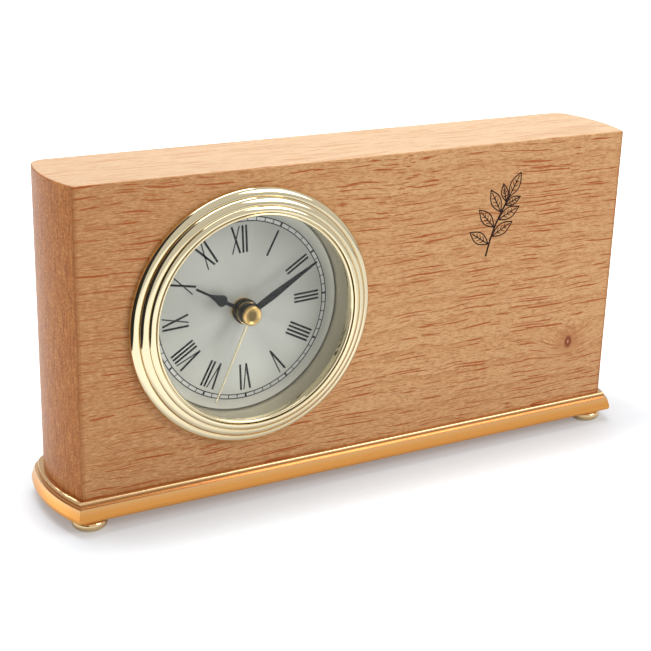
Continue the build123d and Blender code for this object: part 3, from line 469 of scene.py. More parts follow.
def build_moulded_skin():
    group, entry, leave = start_group(
        "moulded_skin",
        [("Color", COLOR, (0.5, 0.5, 0.5, 1.0)), ("Base Roughness", FLOAT, 0.5)],
        [("Color", COLOR), ("Roughness", FLOAT), ("Height", FLOAT)],
    )
    place = object_place(group)
    pebbles = noise_at(group, place, 1800.0, 3.0)
    clouds = noise_at(group, place, 45.0, 2.0)
    shade = blend_colors(group, clouds.outputs[0], (0.82, 0.82, 0.82, 1.0), (1.15, 1.15, 1.15, 1.0))
    tinted = add_node(
        group,
        "ShaderNodeMix",
        {"data_type": "RGBA", "blend_type": "MULTIPLY"},
        **{"0": 1.0, "6": entry.outputs["Color"], "7": shade},
    )
    group.links.new(tinted.outputs[2], leave.inputs["Color"])
    spread = scale_between(group, pebbles.outputs[0], 0.85, 1.15)
    rough = calculate(group, "MULTIPLY", entry.outputs["Base Roughness"], spread)
    group.links.new(rough, leave.inputs["Roughness"])
    group.links.new(pebbles.outputs[0], leave.inputs["Height"])
    return group


metal_marks = build_metal_marks()
moulded_skin = build_moulded_skin()
print("metal nodes:", len(metal_marks.nodes), "moulded nodes:", len(moulded_skin.nodes))

# %% [markdown]
# ## The wood
# The real block is sealed with a thin clear lacquer that stays nearly dull. So the coat is weak
# and rough, and the colour comes from the figure alone. Every finish takes its colour, roughness
# and height from a group in the same way, so one helper makes those links.


# %% Lacquered wood
def wear_figure(tree, shader, figure, strength=None, depth=None):
    """Links a group's colour and roughness, and its height if a strength and depth are given."""
    put(tree, shader, "Base Color", figure.outputs["Color"])
    put(tree, shader, "Roughness", figure.outputs["Roughness"])
    if strength is not None:
        height = figure.outputs["Height"]
        bump = add_node(tree, "ShaderNodeBump", None, Height=height, Strength=strength, Distance=depth)
        put(tree, shader, "Normal", bump.outputs["Normal"])


def lacquered_wood():
    material, tree, shader = start_material("case_wood")
    wear_figure(tree, shader, use_group(tree, wood_figure, Pore_Depth=1.0), 0.25, 0.12 * mm)
    shader.inputs["Coat Weight"].default_value = 0.12
    shader.inputs["Coat Roughness"].default_value = 0.28
    shader.inputs["Specular IOR Level"].default_value = 0.12
    return material


# %% [markdown]
# ## Metals
# Gold plate, brass, nickel and steel are the same network with other numbers: a colour, how
# metallic it is, and how tightly the surface mirrors. So one function makes them all.


# %% Metals
def metal(name, color, roughness, strength=0.1, metallic=1.0):
    material, tree, shader = start_material(name)
    marks = use_group(tree, metal_marks, Color=(*color, 1.0), Base_Roughness=roughness)
    wear_figure(tree, shader, marks, strength, 0.02 * mm)
    shader.inputs["Metallic"].default_value = metallic
    return material


# %% [markdown]
# Three metal pieces have light and shade painted into their colour. The plated base has a painted
# highlight on its lip and its upper step, a painted shade in the seam under the step's edge, and is
# painted deeper towards the floor as painted shade. The dish in the cap is painted dark as a painted
# reflection. And the dial is brushed outwards from its middle, so its soft sectors are a painted sheen,
# and it is painted paler below and at the rim as painted light, with a painted shade at its edge.


# %% Toned metals
def toned_metal(name, tone, roughness, metallic=1.0):
    """A metal whose colour is given by a function of the tree and of the place on the object."""
    material, tree, shader = start_material(name)
    color = tone(tree, object_place(tree))
    wear_figure(tree, shader, use_group(tree, metal_marks, Color=color, Base_Roughness=roughness))
    shader.inputs["Metallic"].default_value = metallic
    return material


def base_painted_light_tone(tree, place):
    level = separate(tree, place, "Z")
    share = add_node(
        tree, "ShaderNodeMapRange", None, Value=level, From_Min=base_low.z, From_Max=base_high.z
    )
    # painted light: deeper towards the floor as painted shade, a paler lip and a paler upper step as
    # painted highlights, and a dark seam under the step's edge as painted shade
    stops = [
        (0.0, (0.86, 0.38, 0.092)),
        (0.40, (0.90, 0.41, 0.105)),
        (0.66, (0.92, 0.50, 0.190)),
        (0.74, (0.72, 0.48, 0.280)),
        (0.80, (0.36, 0.17, 0.055)),
        (0.86, (0.42, 0.21, 0.080)),
        (0.92, (0.72, 0.46, 0.240)),
    ]
    return ramp(tree, share.outputs["Result"], stops)


def cap_painted_reflection_tone(tree, place):
    # painted reflection: the dish is painted dark
    dish = round_mask(tree, place, dial_middle, (1.0, 0.0, 1.0), 1.2 * mm, 2.4 * mm)
    return blend_colors(tree, dish, (0.42, 0.28, 0.105, 1.0), (0.085, 0.055, 0.018, 1.0))


def dial_painted_light_tone(tree, place):
    from_middle = vector_math(tree, "SUBTRACT", place, dial_middle)
    outward = vector_math(tree, "MULTIPLY", from_middle, (1.0, 0.0, 1.0))
    heading = vector_math(tree, "NORMALIZE", outward)
    sectors = noise_at(tree, heading, 2.2, 0.0).outputs[0]
    strokes = noise_at(tree, heading, 60.0, 1.0).outputs[0]
    # painted light: the lower half is painted paler, the sectors and strokes are the painted sheen of the
    # brushing, the rim is painted paler, and its edge is a painted shade
    lower = fade_out(tree, separate(tree, outward, "Z"), -dial_radius, 0.3 * dial_radius)
    lit = blend_colors(tree, lower, (0.515, 0.51, 0.455, 1.0), (0.84, 0.83, 0.74, 1.0))
    broad = blend_colors(tree, scale_between(tree, sectors, -0.1, 0.9), lit, (0.40, 0.395, 0.35, 1.0))
    brushed = blend_colors(tree, scale_between(tree, strokes, 0.0, 0.16), broad, (1.0, 1.0, 0.94, 1.0))
    reach = vector_math(tree, "LENGTH", outward)
    inside_rim = fade_out(tree, reach, 0.88 * dial_radius, 0.99 * dial_radius)
    rimmed = blend_colors(tree, inside_rim, (0.86, 0.85, 0.77, 1.0), brushed)
    inside_painted_shade_edge = fade_out(tree, reach, dial_radius - 0.45 * mm, dial_radius - 0.25 * mm)
    return blend_colors(tree, inside_painted_shade_edge, (0.16, 0.155, 0.12, 1.0), rimmed)


# %% [markdown]
# ## Plastics, paint and rubber
# These reflect light in the way of plastic, not of metal, and their skin is pebbled very finely.


# %% Moulded finishes
def moulded(name, color, roughness, strength=0.2, shine=0.5):
    material, tree, shader = start_material(name)
    skin = use_group(tree, moulded_skin, Color=(*color, 1.0), Base_Roughness=roughness)
    wear_figure(tree, shader, skin, strength, 0.03 * mm)
    shader.inputs["Specular IOR Level"].default_value = shine
    return material


# %% [markdown]
# ## Glass
# The flat glass over the dial bends light as real glass does. A dark specular tint takes most of
# the mirror image off it, as a coating would, so the hands stay black. Light from lamps can't
# find its way through solid glass in this renderer, so for shadow and diffuse rays the glass is
# clear. Without that the dial under it would lie in the dark.


# %% Clear glass
def clear_glass():
    material, tree, shader = start_material("clear_glass")
    shader.inputs["Base Color"].default_value = (0.97, 0.985, 0.98, 1.0)
    shader.inputs["Roughness"].default_value = 0.0
    shader.inputs["IOR"].default_value = 1.5
    shader.inputs["Transmission Weight"].default_value = 1.0
    shader.inputs["Specular Tint"].default_value = (0.12, 0.12, 0.12, 1.0)
    path = add_node(tree, "ShaderNodeLightPath")
    passing = add_node(tree, "ShaderNodeBsdfTransparent").outputs[0]
    either = calculate(tree, "MAXIMUM", path.outputs["Is Shadow Ray"], path.outputs["Is Diffuse Ray"])
    mixed = {"0": either, "1": shader.outputs[0], "2": passing}
    mixer = add_node(tree, "ShaderNodeMixShader", None, **mixed)
    tree.links.new(mixer.outputs[0], tree.nodes["Material Output"].inputs["Surface"])
    return material


# %% [markdown]
# ## The battery's sleeve
# A cell wears a printed sleeve in two colours, and its ends are bare metal. Separate materials
# could be put on picked faces, but the CAD mesh is left as it is. So one material tells the colours
# apart by place, and the ends by the way a face looks.


# %% Battery sleeve
def battery_sleeve():
    material, tree, shader = start_material("cell_sleeve")
    cell_low, cell_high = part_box("battery_cell")
    band_share = 0.68
    band_edge = 0.3 * mm
    band_start = cell_low.x + band_share * (cell_high.x - cell_low.x)
    band = fade_out(tree, separate(tree, object_place(tree), "X"), band_start + band_edge, band_start)
    printed = blend_colors(tree, band, (0.030, 0.032, 0.038, 1.0), (0.62, 0.30, 0.12, 1.0))
    sideways = calculate(tree, "ABSOLUTE", separate(tree, facing(tree), "X"))
    bare = fade_out(tree, sideways, 0.9, 0.6)
    color = blend_colors(tree, bare, printed, (0.62, 0.61, 0.58, 1.0))
    wear_figure(tree, shader, use_group(tree, metal_marks, Color=color, Base_Roughness=0.3))
    put(tree, shader, "Metallic", scale_between(tree, bare, 0.4, 1.0))
    return material


# %% [markdown]
# ## One finish for each slot
# The record names a material slot for every CAD node. Each slot gets its finish here, and a loop
# puts it on every node of that slot. Metals and mouldings are listed by colour and roughness. A
# third number sets the strength of the fine relief, and a fourth how metallic or shiny it is.

# %% Make the finishes
metals = {
    "foot_gold": ((0.84, 0.62, 0.34), 0.12),
    "bezel_gold": ((0.80, 0.69, 0.46), 0.07),
    "gold_leaf_hand": ((0.40, 0.35, 0.24), 0.38),
    "plain_brass": ((0.72, 0.52, 0.22), 0.22),
    "arbor_brass": ((0.72, 0.52, 0.22), 0.22),
    "screw_steel": ((0.56, 0.56, 0.54), 0.28),
    "core_steel": ((0.42, 0.42, 0.44), 0.38),
    "nickel": ((0.66, 0.63, 0.57), 0.20),
    "magnet": ((0.10, 0.10, 0.11), 0.50),
    "copper_wire": ((0.68, 0.26, 0.09), 0.30),
    "pan_grey": ((0.60, 0.54, 0.40), 0.30, 0.03, 0.5),
    "track_pale": ((0.72, 0.72, 0.68), 0.40, 0.03, 0.2),
}
mouldings = {
    "hand_black": ((0.006, 0.006, 0.006), 0.35, 0.2, 0.15),
    "black_rubber": ((0.02, 0.02, 0.02), 0.75),
    "housing_black": ((0.022, 0.022, 0.024), 0.45),
    "gear_white": ((0.78, 0.78, 0.72), 0.42),
    "knob_red": ((0.42, 0.02, 0.015), 0.38),
    "bobbin_nylon": ((0.80, 0.77, 0.66), 0.45),
    "board_green": ((0.01, 0.10, 0.035), 0.32),
    "chip_epoxy": ((0.012, 0.012, 0.012), 0.22),
    "dial_ink": ((0.006, 0.006, 0.006), 0.5, 0.2, 0.2),
    "burnt_wood": ((0.030, 0.010, 0.005), 0.70, 0.5, 0.2),
}
finishes = {
    "case_wood": lacquered_wood(),
    "base_gold": toned_metal("base_gold", base_painted_light_tone, 0.19),
    "cap_gold": toned_metal("cap_gold", cap_painted_reflection_tone, 0.10),
    "dial_silver": toned_metal("dial_silver", dial_painted_light_tone, 0.45, metallic=0.15),
    "cell_sleeve": battery_sleeve(),
    "clear_glass": clear_glass(),
}
for name, look in metals.items():
    finishes[name] = metal(name, *look)
for name, look in mouldings.items():
    finishes[name] = moulded(name, *look)
# the feet are a paler gold than the base, though the record gives both one slot
own_finishes = {"bun_feet": "foot_gold"}
for part in frame["record"]["subparts"]:
    node = frame["nodes"][part["node"]]
    node.data.materials.clear()
    node.data.materials.append(finishes[own_finishes.get(part["node"], part["material_slot"])])
print("finishes:", len(finishes))

# %% [markdown]
# ## The turned bezel
# The real bezel is turned or spun from brass: three rounded beads climb towards the glass, with a
# fine groove between each two. The CAD ring carries its size, and this piece carries the beads.
# A profile could be drawn and spun round, but here a circle is the start: it is extruded ring by
# ring, each ring scaled to the next point of the profile, as on a lathe. Profiles are written in
# millimetres, as radius and height above the surface that the piece stands on.

# %% Turning helpers
turned_corners = 192
smooth_angle = 38.0


def on_clock_face(thing, radius=0.0, clockwise=0.0, depth=0.0):
    """Stands a flat piece up in front of the dial: X to the right, Y up, Z to the viewer."""
    stand_up = Matrix.Rotation(math.radians(90.0), 4, "X")
    turn = Matrix.Rotation(-math.radians(clockwise), 4, "Z")
    place = Matrix.Translation((dial_middle.x, depth, dial_middle.z))
    thing.data.transform(place @ stand_up @ turn @ Matrix.Translation((0.0, radius, 0.0)))


def finish_piece(thing, name, finish, body):
    thing.name = name
    thing.data.name = name
    thing.data.materials.clear()
    thing.data.materials.append(finishes[finish])
    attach(thing, body)


def turn_ring(profile, solid=False):
    """A ring turned to a closed profile, or with solid a knob that starts and ends with a flat disc."""
    select_only()
    radius, height = profile[0]
    fill = "NGON" if solid else "NOTHING"
    bpy.ops.mesh.primitive_circle_add(
        vertices=turned_corners, radius=radius, fill_type=fill, location=(0.0, 0.0, height)
    )
    ring = bpy.context.object
    bpy.ops.object.transform_apply(location=True, rotation=True, scale=True)
    bpy.ops.object.mode_set(mode="EDIT")
    bpy.ops.mesh.select_all(action="SELECT")
    for next_radius, next_height in profile[1:]:
        rise = (0.0, 0.0, next_height - height)
        bpy.ops.mesh.extrude_region_move(TRANSFORM_OT_translate={"value": rise})
        share = next_radius / radius
        bpy.ops.transform.resize(value=(share, share, 1.0), center_override=(0.0, 0.0, next_height))
        radius, height = next_radius, next_height
    if not solid:
        bpy.ops.mesh.select_all(action="DESELECT")
        bpy.ops.mesh.select_mode(type="EDGE")
        bpy.ops.mesh.select_non_manifold()
        bpy.ops.mesh.bridge_edge_loops()
    bpy.ops.mesh.select_all(action="SELECT")
    bpy.ops.mesh.normals_make_consistent(inside=False)
    bpy.ops.object.mode_set(mode="OBJECT")
    bpy.ops.object.shade_smooth_by_angle(angle=math.radians(smooth_angle))
    return ring


def in_metres(points):
    return [(radius * mm, height * mm) for radius, height in points]


def bead(start, end, steps=9):
    """Points of a quarter-round that starts upright at its outer foot and lies flat at its top."""
    (outer, foot), (inner, top) = start, end
    points = []
    for step in range(steps + 1):
        angle = math.radians(90.0 * step / steps)
        radius = outer - (outer - inner) * (1.0 - math.cos(angle))
        points.append((radius, foot + (top - foot) * math.sin(angle)))
    return points


# %% [markdown]
# Each bead of the bezel is a quarter-round between two points of the profile, and a groove of two
# points parts it from the next. Behind the last bead the profile drops into the seat of the glass.

# %% Turn the bezel
bead_ends = [[(44.5, 0.9), (42.05, 2.75)], [(41.7, 2.6), (39.25, 4.35)], [(38.95, 4.1), (37.2, 5.15)]]
grooves = [[(42.0, 2.35), (41.75, 2.35)], [(39.2, 3.95), (38.98, 3.95)], [(36.95, 5.05), (36.85, 4.8)]]
glass_seat = [(36.85, 3.5), (37.7, 3.5), (37.7, 0.7), (36.5, 0.7)]
bezel_profile = in_metres([(36.5, 0.0), (44.5, 0.0)])
for ends, groove in zip(bead_ends, grooves):
    bezel_profile += bead(*in_metres(ends)) + in_metres(groove)
bezel_profile += in_metres(glass_seat)
bezel = turn_ring(bezel_profile)
on_clock_face(bezel, depth=wood_front)
finish_piece(bezel, "turned_bezel", "bezel_gold", "insert")
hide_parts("bezel")
print("bezel faces:", len(bezel.data.polygons))

# %% [markdown]
# A thin polished ring inside the bezel presses the glass home. A dark hairline gap parts it from
# the last bead, and that gap is what makes the edge of the glass look crisp. The ring is turned
# in the same way as the bezel, from a profile of its own.

# %% Turn the lip ring
lip_profile = in_metres([(37.6, 2.45), (37.6, 3.3), (36.5, 3.4), (36.5, 4.6)])
lip_profile += bead(*in_metres([(36.5, 4.6), (36.1, 5.0)]), steps=4)
lip_profile += in_metres([(35.75, 4.85), (35.55, 4.5), (35.5, 2.45)])
lip = turn_ring(lip_profile)
on_clock_face(lip, depth=wood_front)
finish_piece(lip, "glass_lip", "bezel_gold", "insert")
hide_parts("lip_ring")
print("lip faces:", len(lip.data.polygons))

# %% [markdown]
# ## The cap on the second hand
# The CAD cap is a plain drum. The real one is turned from brass, with a rolled rim round a shallow dish,
# and the dish shows as a dark spot with a bright edge; here that dark spot is a painted reflection in the
# cap's colour. It is turned on the same lathe as the bezel, but starts from a full disc, so it comes out
# solid.

# %% Turn the cap
cap_low, cap_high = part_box("second_hand_cap")
cap_radius = (cap_high.x - cap_low.x) / 2.0
cap_height = cap_high.y - cap_low.y
cap_rim = 0.7 * mm
dish_steps = in_metres([(1.0, 0.08), (1.3, 0.35), (1.9, 0.52), (2.9, 0.62)])
cap_profile = [(cap_radius, 0.0)]
cap_profile += bead((cap_radius, cap_height - cap_rim), (cap_radius - cap_rim, cap_height), steps=6)
cap_profile += [(cap_radius - inward, cap_height - down) for inward, down in dish_steps]
cap = turn_ring(cap_profile, solid=True)
on_clock_face(cap, depth=cap_high.y)
finish_piece(cap, "turned_cap", "cap_gold", "second_group")
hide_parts("second_hand_cap")
print("cap faces:", len(cap.data.polygons))

# %% [markdown]
# ## The printed dial
# Minute track and hour numerals are printed in black on the silvered disc. Ink has almost no
# thickness, but a film a few hundredths of a millimetre thick is safe from flicker between two
# surfaces in one place. The track is two hair-thin turned rings with a paler band between them.
# The insert is held by friction alone, and the one in the photo sits turned by about three degrees.

# %% Print the track rings
ink_height = 0.03 * mm
band_height = 0.015 * mm
sunk = -0.02 * mm


def flat_band(outer, inner, height):
    return turn_ring([(inner, sunk), (outer, sunk), (outer, height), (inner, height)])


track_outer = 32.3 * mm
track_inner = 30.85 * mm
track_line = 0.34 * mm
print_turn = -2.8
half_line = track_line / 2.0
track_middle = (track_outer + track_inner) / 2.0
half_track = (track_outer - track_inner) / 2.0
track_bands = [
    ("track_outer_line", track_outer, half_line, ink_height, "dial_ink", "hand_black"),
    ("track_inner_line", track_inner, half_line, ink_height, "dial_ink", "hand_black"),
    ("track_pale_band", track_middle, half_track, band_height, "track_pale", "dial_silver"),
]
for name, middle, half_width, height, finish, slot in track_bands:
    band = flat_band(middle + half_width, middle - half_width, height)
    on_clock_face(band, depth=dial_middle.y)
    finish_piece(band, name, finish, "insert")
    print(name, "faces:", len(band.data.polygons))

# %% [markdown]
# Every stroke of the print is one bar: a plane stretched to its width and length, and extruded to
# the thickness of ink. Sloping strokes are turned a little and then cut level at both ends with
# bisect, as a printed letter ends on its line.


# %% Stroke helper
def copy_piece(thing):
    twin = thing.copy()
    twin.data = thing.data.copy()
    bpy.context.scene.collection.objects.link(twin)
    return twin


def ink_bar(width, length, lean=0.0):
    """A bar that stands on Y = 0, leaning by the X distance between its foot and its head."""
    select_only()
    bpy.ops.mesh.primitive_plane_add(size=1.0, location=(0.0, 0.0, 0.0))
    bar = bpy.context.object
    angle = math.atan2(lean, length)
    bpy.ops.object.mode_set(mode="EDIT")
    bpy.ops.mesh.select_all(action="SELECT")
    reach = math.hypot(lean, length) + 2.0 * width
    bpy.ops.transform.resize(value=(width, reach, 1.0), center_override=(0.0, 0.0, 0.0))
    bpy.ops.transform.translate(value=(0.0, 0.0, sunk))
    thickness = {"value": (0.0, 0.0, ink_height - sunk)}
    bpy.ops.mesh.extrude_region_move(TRANSFORM_OT_translate=thickness)
    bpy.ops.mesh.select_all(action="SELECT")
    bpy.ops.mesh.normals_make_consistent(inside=False)
    bpy.ops.object.mode_set(mode="OBJECT")
    slope = Matrix.Rotation(-angle, 4, "Z")
    bar.data.transform(Matrix.Translation((0.0, length / 2.0, 0.0)) @ slope)
    bpy.ops.object.mode_set(mode="EDIT")
    for level, side in ((0.0, -1.0), (length, 1.0)):
        bpy.ops.mesh.select_all(action="SELECT")
        bpy.ops.mesh.bisect(
            plane_co=(0.0, level, 0.0), plane_no=(0.0, side, 0.0), use_fill=True, clear_outer=True
        )
    bpy.ops.object.mode_set(mode="OBJECT")
    return bar


def join_pieces(things):
    select_only(*things)
    bpy.ops.object.join()
    return bpy.context.object


def clear_away(*things):
    for thing in things:
        bpy.data.objects.remove(thing)


# %% [markdown]
# Sixty ticks stand between the two rings, and every fifth is bold. An array of one tick would be
# quicker, but a loop can take another tick at every fifth minute.

# %% Print the minute ticks
fine_line = 0.30 * mm
bold_line = 0.70 * mm
minute_turn = 6.0
fine_tick = ink_bar(fine_line, track_outer - track_inner)
bold_tick = ink_bar(bold_line, track_outer - track_inner)
ticks = []
for minute in range(60):
    tick = copy_piece(bold_tick if minute % 5 == 0 else fine_tick)
    turn = minute * minute_turn + print_turn
    on_clock_face(tick, radius=track_inner, clockwise=turn, depth=dial_middle.y)
    ticks.append(tick)
clear_away(fine_tick, bold_tick)
finish_piece(join_pieces(ticks), "minute_ticks", "dial_ink", "insert")
print("ticks printed:", len(ticks))

# %% [markdown]
# Roman numerals need three letters. Their falling strokes are thick and their rising strokes are
# thin, as a broad pen would draw them. Each letter is made once and copied to where the numeral
# of its hour needs it, with its foot towards the middle of the dial.

# %% Print the numerals
numeral_height = 9.5 * mm
thick = 0.76 * mm
thin = 0.45 * mm
letter_widths = {"I": thick, "V": 2.8 * mm, "X": 3.3 * mm}
letter_gap = 0.58 * mm
half_v = 0.6 * mm
lean_x = 2.8 * mm
hour_turn = 30.0
falling_v = ink_bar(thick, numeral_height, lean=-2.0 * half_v)
rising_v = ink_bar(thin, numeral_height, lean=2.0 * half_v)
falling_v.data.transform(Matrix.Translation((-half_v, 0.0, 0.0)))
rising_v.data.transform(Matrix.Translation((half_v, 0.0, 0.0)))
falling_x = ink_bar(thick, numeral_height, lean=-lean_x)
rising_x = ink_bar(thin, numeral_height, lean=lean_x)
letters = {
    "I": ink_bar(thick, numeral_height),
    "V": join_pieces([falling_v, rising_v]),
    "X": join_pieces([falling_x, rising_x]),
}


def centre_letter(thing):
    xs = [corner.co.x for corner in thing.data.vertices]
    thing.data.transform(Matrix.Translation((-(min(xs) + max(xs)) / 2.0, 0.0, 0.0)))


for letter in letters.values():
    centre_letter(letter)

numeral_foot_radius = 19.9 * mm
hour_words = ["XII", "I", "II", "III", "IIII", "V", "VI", "VII", "VIII", "IX", "X", "XI"]
printed = []
for hour, word in enumerate(hour_words):
    widths = [letter_widths[sign] for sign in word]
    left = -(sum(widths) + letter_gap * (len(word) - 1)) / 2.0
    for sign, width in zip(word, widths):
        letter = copy_piece(letters[sign])
        letter.data.transform(Matrix.Translation((left + width / 2.0, 0.0, 0.0)))
        turn = hour * hour_turn + print_turn
        on_clock_face(letter, radius=numeral_foot_radius, clockwise=turn, depth=dial_middle.y)
        printed.append(letter)
        left += width + letter_gap
clear_away(*letters.values())
finish_piece(join_pieces(printed), "hour_numerals", "dial_ink", "insert")
print("letters printed:", len(printed))

# %% [markdown]
# ## The ornament burnt into the wood
# Such blocks are decorated with a laser, which scorches a drawing into the front. A plain leafy
# sprig stands here: a bent stem, and leaves that are drawn as an outline with veins. A leaf is a
# circle pulled long and pinched at both ends, inset to a narrow band whose inside is taken out.

# %% Make one leaf
burn_height = 0.035 * mm
leaf_line = 0.46 * mm
rib_line = 0.42 * mm
vein_line = 0.28 * mm
stem_line = 0.75 * mm
leaf_pinch = 0.75
vein_lean = 42.0
sprig_middle = Vector((54.5 * mm, wood_front, wood_low.z + 78.5 * mm))


def leaf_outline(length, width, line):
    select_only()
    bpy.ops.mesh.primitive_circle_add(vertices=40, radius=0.5, fill_type="NGON", location=(0.0, 0.0, 0.0))
    leaf = bpy.context.object
    bpy.ops.object.mode_set(mode="EDIT")
    bpy.ops.mesh.select_all(action="SELECT")
    bpy.ops.transform.resize(value=(width, length, 1.0), center_override=(0.0, 0.0, 0.0))
    bpy.ops.object.mode_set(mode="OBJECT")
    for corner in leaf.data.vertices:
        tip_share = min(1.0, abs(corner.co.y) / (length / 2.0))
        corner.co.x *= 1.0 - leaf_pinch * tip_share**2
    bpy.ops.object.mode_set(mode="EDIT")
    bpy.ops.mesh.select_all(action="SELECT")
    bpy.ops.transform.translate(value=(0.0, length / 2.0, sunk))
    bpy.ops.mesh.inset(thickness=line, depth=0.0)
    bpy.ops.mesh.delete(type="ONLY_FACE")
    bpy.ops.mesh.select_all(action="SELECT")
    thickness = {"value": (0.0, 0.0, burn_height - sunk)}
    bpy.ops.mesh.extrude_region_move(TRANSFORM_OT_translate=thickness)
    bpy.ops.mesh.select_all(action="SELECT")
    bpy.ops.mesh.normals_make_consistent(inside=False)
    bpy.ops.object.mode_set(mode="OBJECT")
    return leaf


def flat_turn(angle):
    return Matrix.Rotation(-math.radians(angle), 4, "Z")


def veined_leaf(length, width):
    """An outline, a rib and three pairs of veins, each placed and sized by shares of the leaf."""
    rib_share = 0.86
    vein_shares = [(0.26, 0.405), (0.42, 0.405), (0.58, 0.324)]
    parts = [leaf_outline(length, width, leaf_line), ink_bar(rib_line, length * rib_share)]
    for along_share, length_share in vein_shares:
        for side in (-1.0, 1.0):
            vein = ink_bar(vein_line, width * length_share)
            foot = Matrix.Translation((0.0, length * along_share, 0.0))
            vein.data.transform(foot @ flat_turn(vein_lean * side))
            parts.append(vein)
    return join_pieces(parts)


# %% [markdown]
# The stem is a row of bars that overlap a little, so that no gap shows where it bends. Two sizes
# of leaf are made once and copied to their places along it. The places are in millimetres from
# the middle of the sprig, and the angles in degrees clockwise from upright.

# %% Draw the sprig
large_leaf = veined_leaf(10.5 * mm, 4.6 * mm)
small_leaf = veined_leaf(7.6 * mm, 3.4 * mm)
stem_points = [(-6.5, -15.0), (-5.0, -9.0), (-2.8, -3.0), (0.2, 2.6), (2.2, 6.2)]
sprig_leaves = [
    ("large", -5.4, -10.6, -58.0),
    ("large", -4.6, -7.8, 62.0),
    ("large", -3.4, -4.6, -44.0),
    ("large", -2.2, -1.8, 66.0),
    ("large", -0.8, 0.8, -30.0),
    ("small", 0.6, 3.3, 68.0),
    ("small", 1.2, 4.4, -14.0),
    ("large", 2.2, 6.0, 28.0),
]
overlap = 0.2
sprig_parts = []
for (x0, y0), (x1, y1) in zip(stem_points, stem_points[1:]):
    run = ink_bar(stem_line, (math.hypot(x1 - x0, y1 - y0) + overlap) * mm)
    lean = math.degrees(math.atan2(x1 - x0, y1 - y0))
    run.data.transform(Matrix.Translation((x0 * mm, y0 * mm, 0.0)) @ flat_turn(lean))
    sprig_parts.append(run)
for size, x, y, angle in sprig_leaves:
    leaf = copy_piece(large_leaf if size == "large" else small_leaf)
    leaf.data.transform(Matrix.Translation((x * mm, y * mm, 0.0)) @ flat_turn(angle))
    sprig_parts.append(leaf)
clear_away(large_leaf, small_leaf)
sprig = join_pieces(sprig_parts)
sprig.data.transform(Matrix.Translation(sprig_middle) @ Matrix.Rotation(math.radians(90.0), 4, "X"))
finish_piece(sprig, "burnt_sprig", "burnt_wood", "case")
print("sprig faces:", len(sprig.data.polygons))

# %% [markdown]
# ## The studio
# A pale floor and a plain white room. The camera and the glass see them as white, while the light that
# falls on the clock stays at a plain level, so its colours come out as written. The floor's glow fades
# away beside the clock, so that the clock's shadow shows, and its paint is darker and bluer there as a
# painted shadow. Mirrors see less of the glow, and none far to the right, which paints a darker reflection
# into the right side of the gold, or the gold would wash out.


# %% Floor
def seen_and_mirrored(tree):
    """Two masks: 1 for rays from the camera or through glass, and 1 for rays from a mirror."""
    ray = add_node(tree, "ShaderNodeLightPath").outputs
    seen = calculate(tree, "MAXIMUM", ray["Is Camera Ray"], ray["Is Transmission Ray"])
    return seen, ray["Is Glossy Ray"]


def studio_floor():
    shadow_shift = 10.0 * mm
    shadow_reach = 65.0 * mm
    shine_full = 50.0 * mm
    shine_none = 170.0 * mm
    bpy.ops.mesh.primitive_plane_add(size=8.0, location=(0, 0, 0))
    floor = bpy.context.object
    floor.name = "studio_floor"
    material, tree, shader = start_material("floor_paint")
    shader.inputs["Roughness"].default_value = 0.9
    shader.inputs["Specular IOR Level"].default_value = 0.0
    shader.inputs["Emission Color"].default_value = (1.0, 1.0, 1.0, 1.0)
    looked_at, mirrored = seen_and_mirrored(tree)
    place = object_place(tree)
    # painted reflection: mirrors see extra glow on the floor's left and none on its right
    left_painted_light_share = fade_out(tree, separate(tree, place, "X"), shine_full, shine_none)
    shine = calculate(tree, "MULTIPLY", mirrored, scale_between(tree, left_painted_light_share, 0.0, 0.44))
    seen = calculate(tree, "ADD", looked_at, shine)
    # how far a point lies outside the clock's box, which is moved a little to the right
    moved = vector_math(tree, "SUBTRACT", place, (shadow_shift, 0.0, 0.0))
    beyond = vector_math(tree, "SUBTRACT", vector_math(tree, "ABSOLUTE", moved), (*cad_high.xy, 1.0))
    outside = vector_math(tree, "MAXIMUM", beyond, (0.0, 0.0, 0.0))
    distance = vector_math(tree, "LENGTH", vector_math(tree, "MULTIPLY", outside, (1.15, 1.15, 1.0)))
    painted_shadow_share = fade_out(tree, distance, 0.0, shadow_reach)
    # painted shadow: near the clock the floor's paint is darker and bluer
    paint = blend_colors(tree, painted_shadow_share, (0.79, 0.82, 0.85, 1.0), (0.665, 0.70, 0.735, 1.0))
    glow = calculate(tree, "MULTIPLY", seen, scale_between(tree, painted_shadow_share, 1.0, 0.22))
    tree.links.new(paint, shader.inputs["Base Color"])
    tree.links.new(glow, shader.inputs["Emission Strength"])
    floor.data.materials.append(material)
    print("floor nodes:", len(tree.nodes))


studio_floor()
select_only()

# %% [markdown]
# The room could have walls, but a plain white light from all sides does the same with less. It is
# brighter to the camera and in mirrors than it is as a lamp.


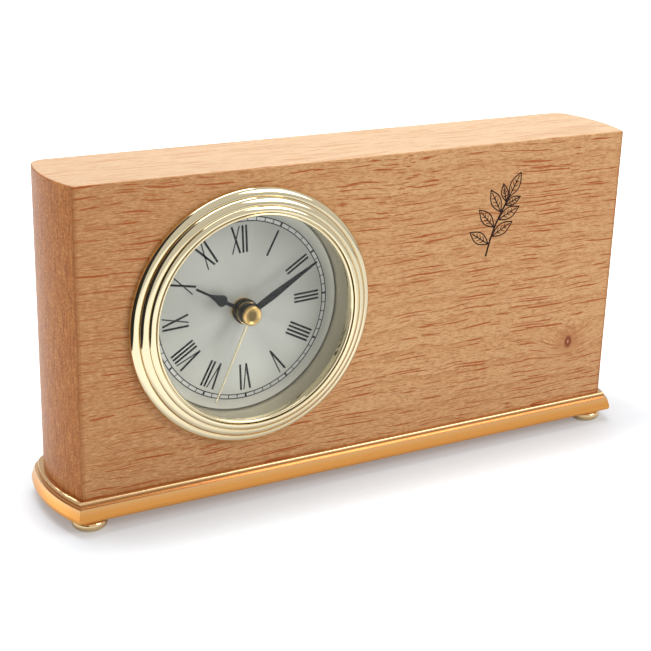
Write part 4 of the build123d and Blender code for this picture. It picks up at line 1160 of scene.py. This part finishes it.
# %% World
def studio_world():
    world = bpy.data.worlds.new("studio")
    bpy.context.scene.world = world
    world.use_nodes = True
    tree = world.node_tree
    tree.nodes.clear()
    looked_at, mirrored = seen_and_mirrored(tree)
    plain = scale_between(tree, looked_at, 0.45, 1.0)
    strength = calculate(tree, "ADD", plain, calculate(tree, "MULTIPLY", mirrored, 0.26))
    backdrop = add_node(tree, "ShaderNodeBackground", None, Color=(1.0, 1.0, 1.0, 1.0), Strength=strength)
    out = add_node(tree, "ShaderNodeOutputWorld")
    tree.links.new(backdrop.outputs[0], out.inputs["Surface"])
    print("world nodes:", len(tree.nodes))


studio_world()

# %% [markdown]
# A large soft lamp hangs above and behind the clock, which makes the top bright and throws the
# shadow forwards. A smaller one stands in front on the right and lights the wood.


# %% Lamps
def soft_lamp(name, place, target, width, watts):
    data = bpy.data.lights.new(name, "AREA")
    data.shape = "SQUARE"
    data.size = width
    data.energy = watts
    lamp = bpy.data.objects.new(name, data)
    bpy.context.scene.collection.objects.link(lamp)
    lamp.location = place
    aim = Vector(target) - Vector(place)
    lamp.rotation_euler = aim.to_track_quat("-Z", "Y").to_euler()
    print(name, "watts:", watts)


soft_lamp("overhead_lamp", (-0.03, 0.30, 1.1), (0.0, 0.0, 0.05), width=0.9, watts=10.5)
soft_lamp("front_lamp", (0.65, -0.80, 0.75), (0.0, 0.0, 0.06), width=0.6, watts=5.5)

# %% [markdown]
# Polished metal shows only what it mirrors. In an all-white room the beads of the bezel would
# melt together, so photographers stand a black card beside such a thing. This card is seen in
# mirrors alone: it throws no shadow and the camera looks past it.


# %% Black card
def black_card():
    bpy.ops.mesh.primitive_plane_add(size=1.0, location=(0.0, 0.0, 0.0))
    card = bpy.context.object
    card.name = "black_card"
    card_width = 0.128
    card_height = 0.38
    card_middle = (-0.165, -0.076, card_height / 2.0 + 0.02)
    upright = Matrix.Rotation(math.radians(90.0), 4, "Y")
    size = Matrix.Diagonal((card_height, card_width, 1.0, 1.0))
    card.data.transform(Matrix.Translation(card_middle) @ upright @ size)
    material, _, shader = start_material("black_card")
    shader.inputs["Base Color"].default_value = (0.01, 0.01, 0.01, 1.0)
    shader.inputs["Roughness"].default_value = 0.9
    card.data.materials.append(material)
    for kind in ("camera", "diffuse", "shadow", "transmission"):
        setattr(card, f"visible_{kind}", False)
    print("card size:", card_width, card_height)


select_only()
black_card()

# %% Finish
scene = bpy.context.scene
scene.view_settings.view_transform = "Standard"
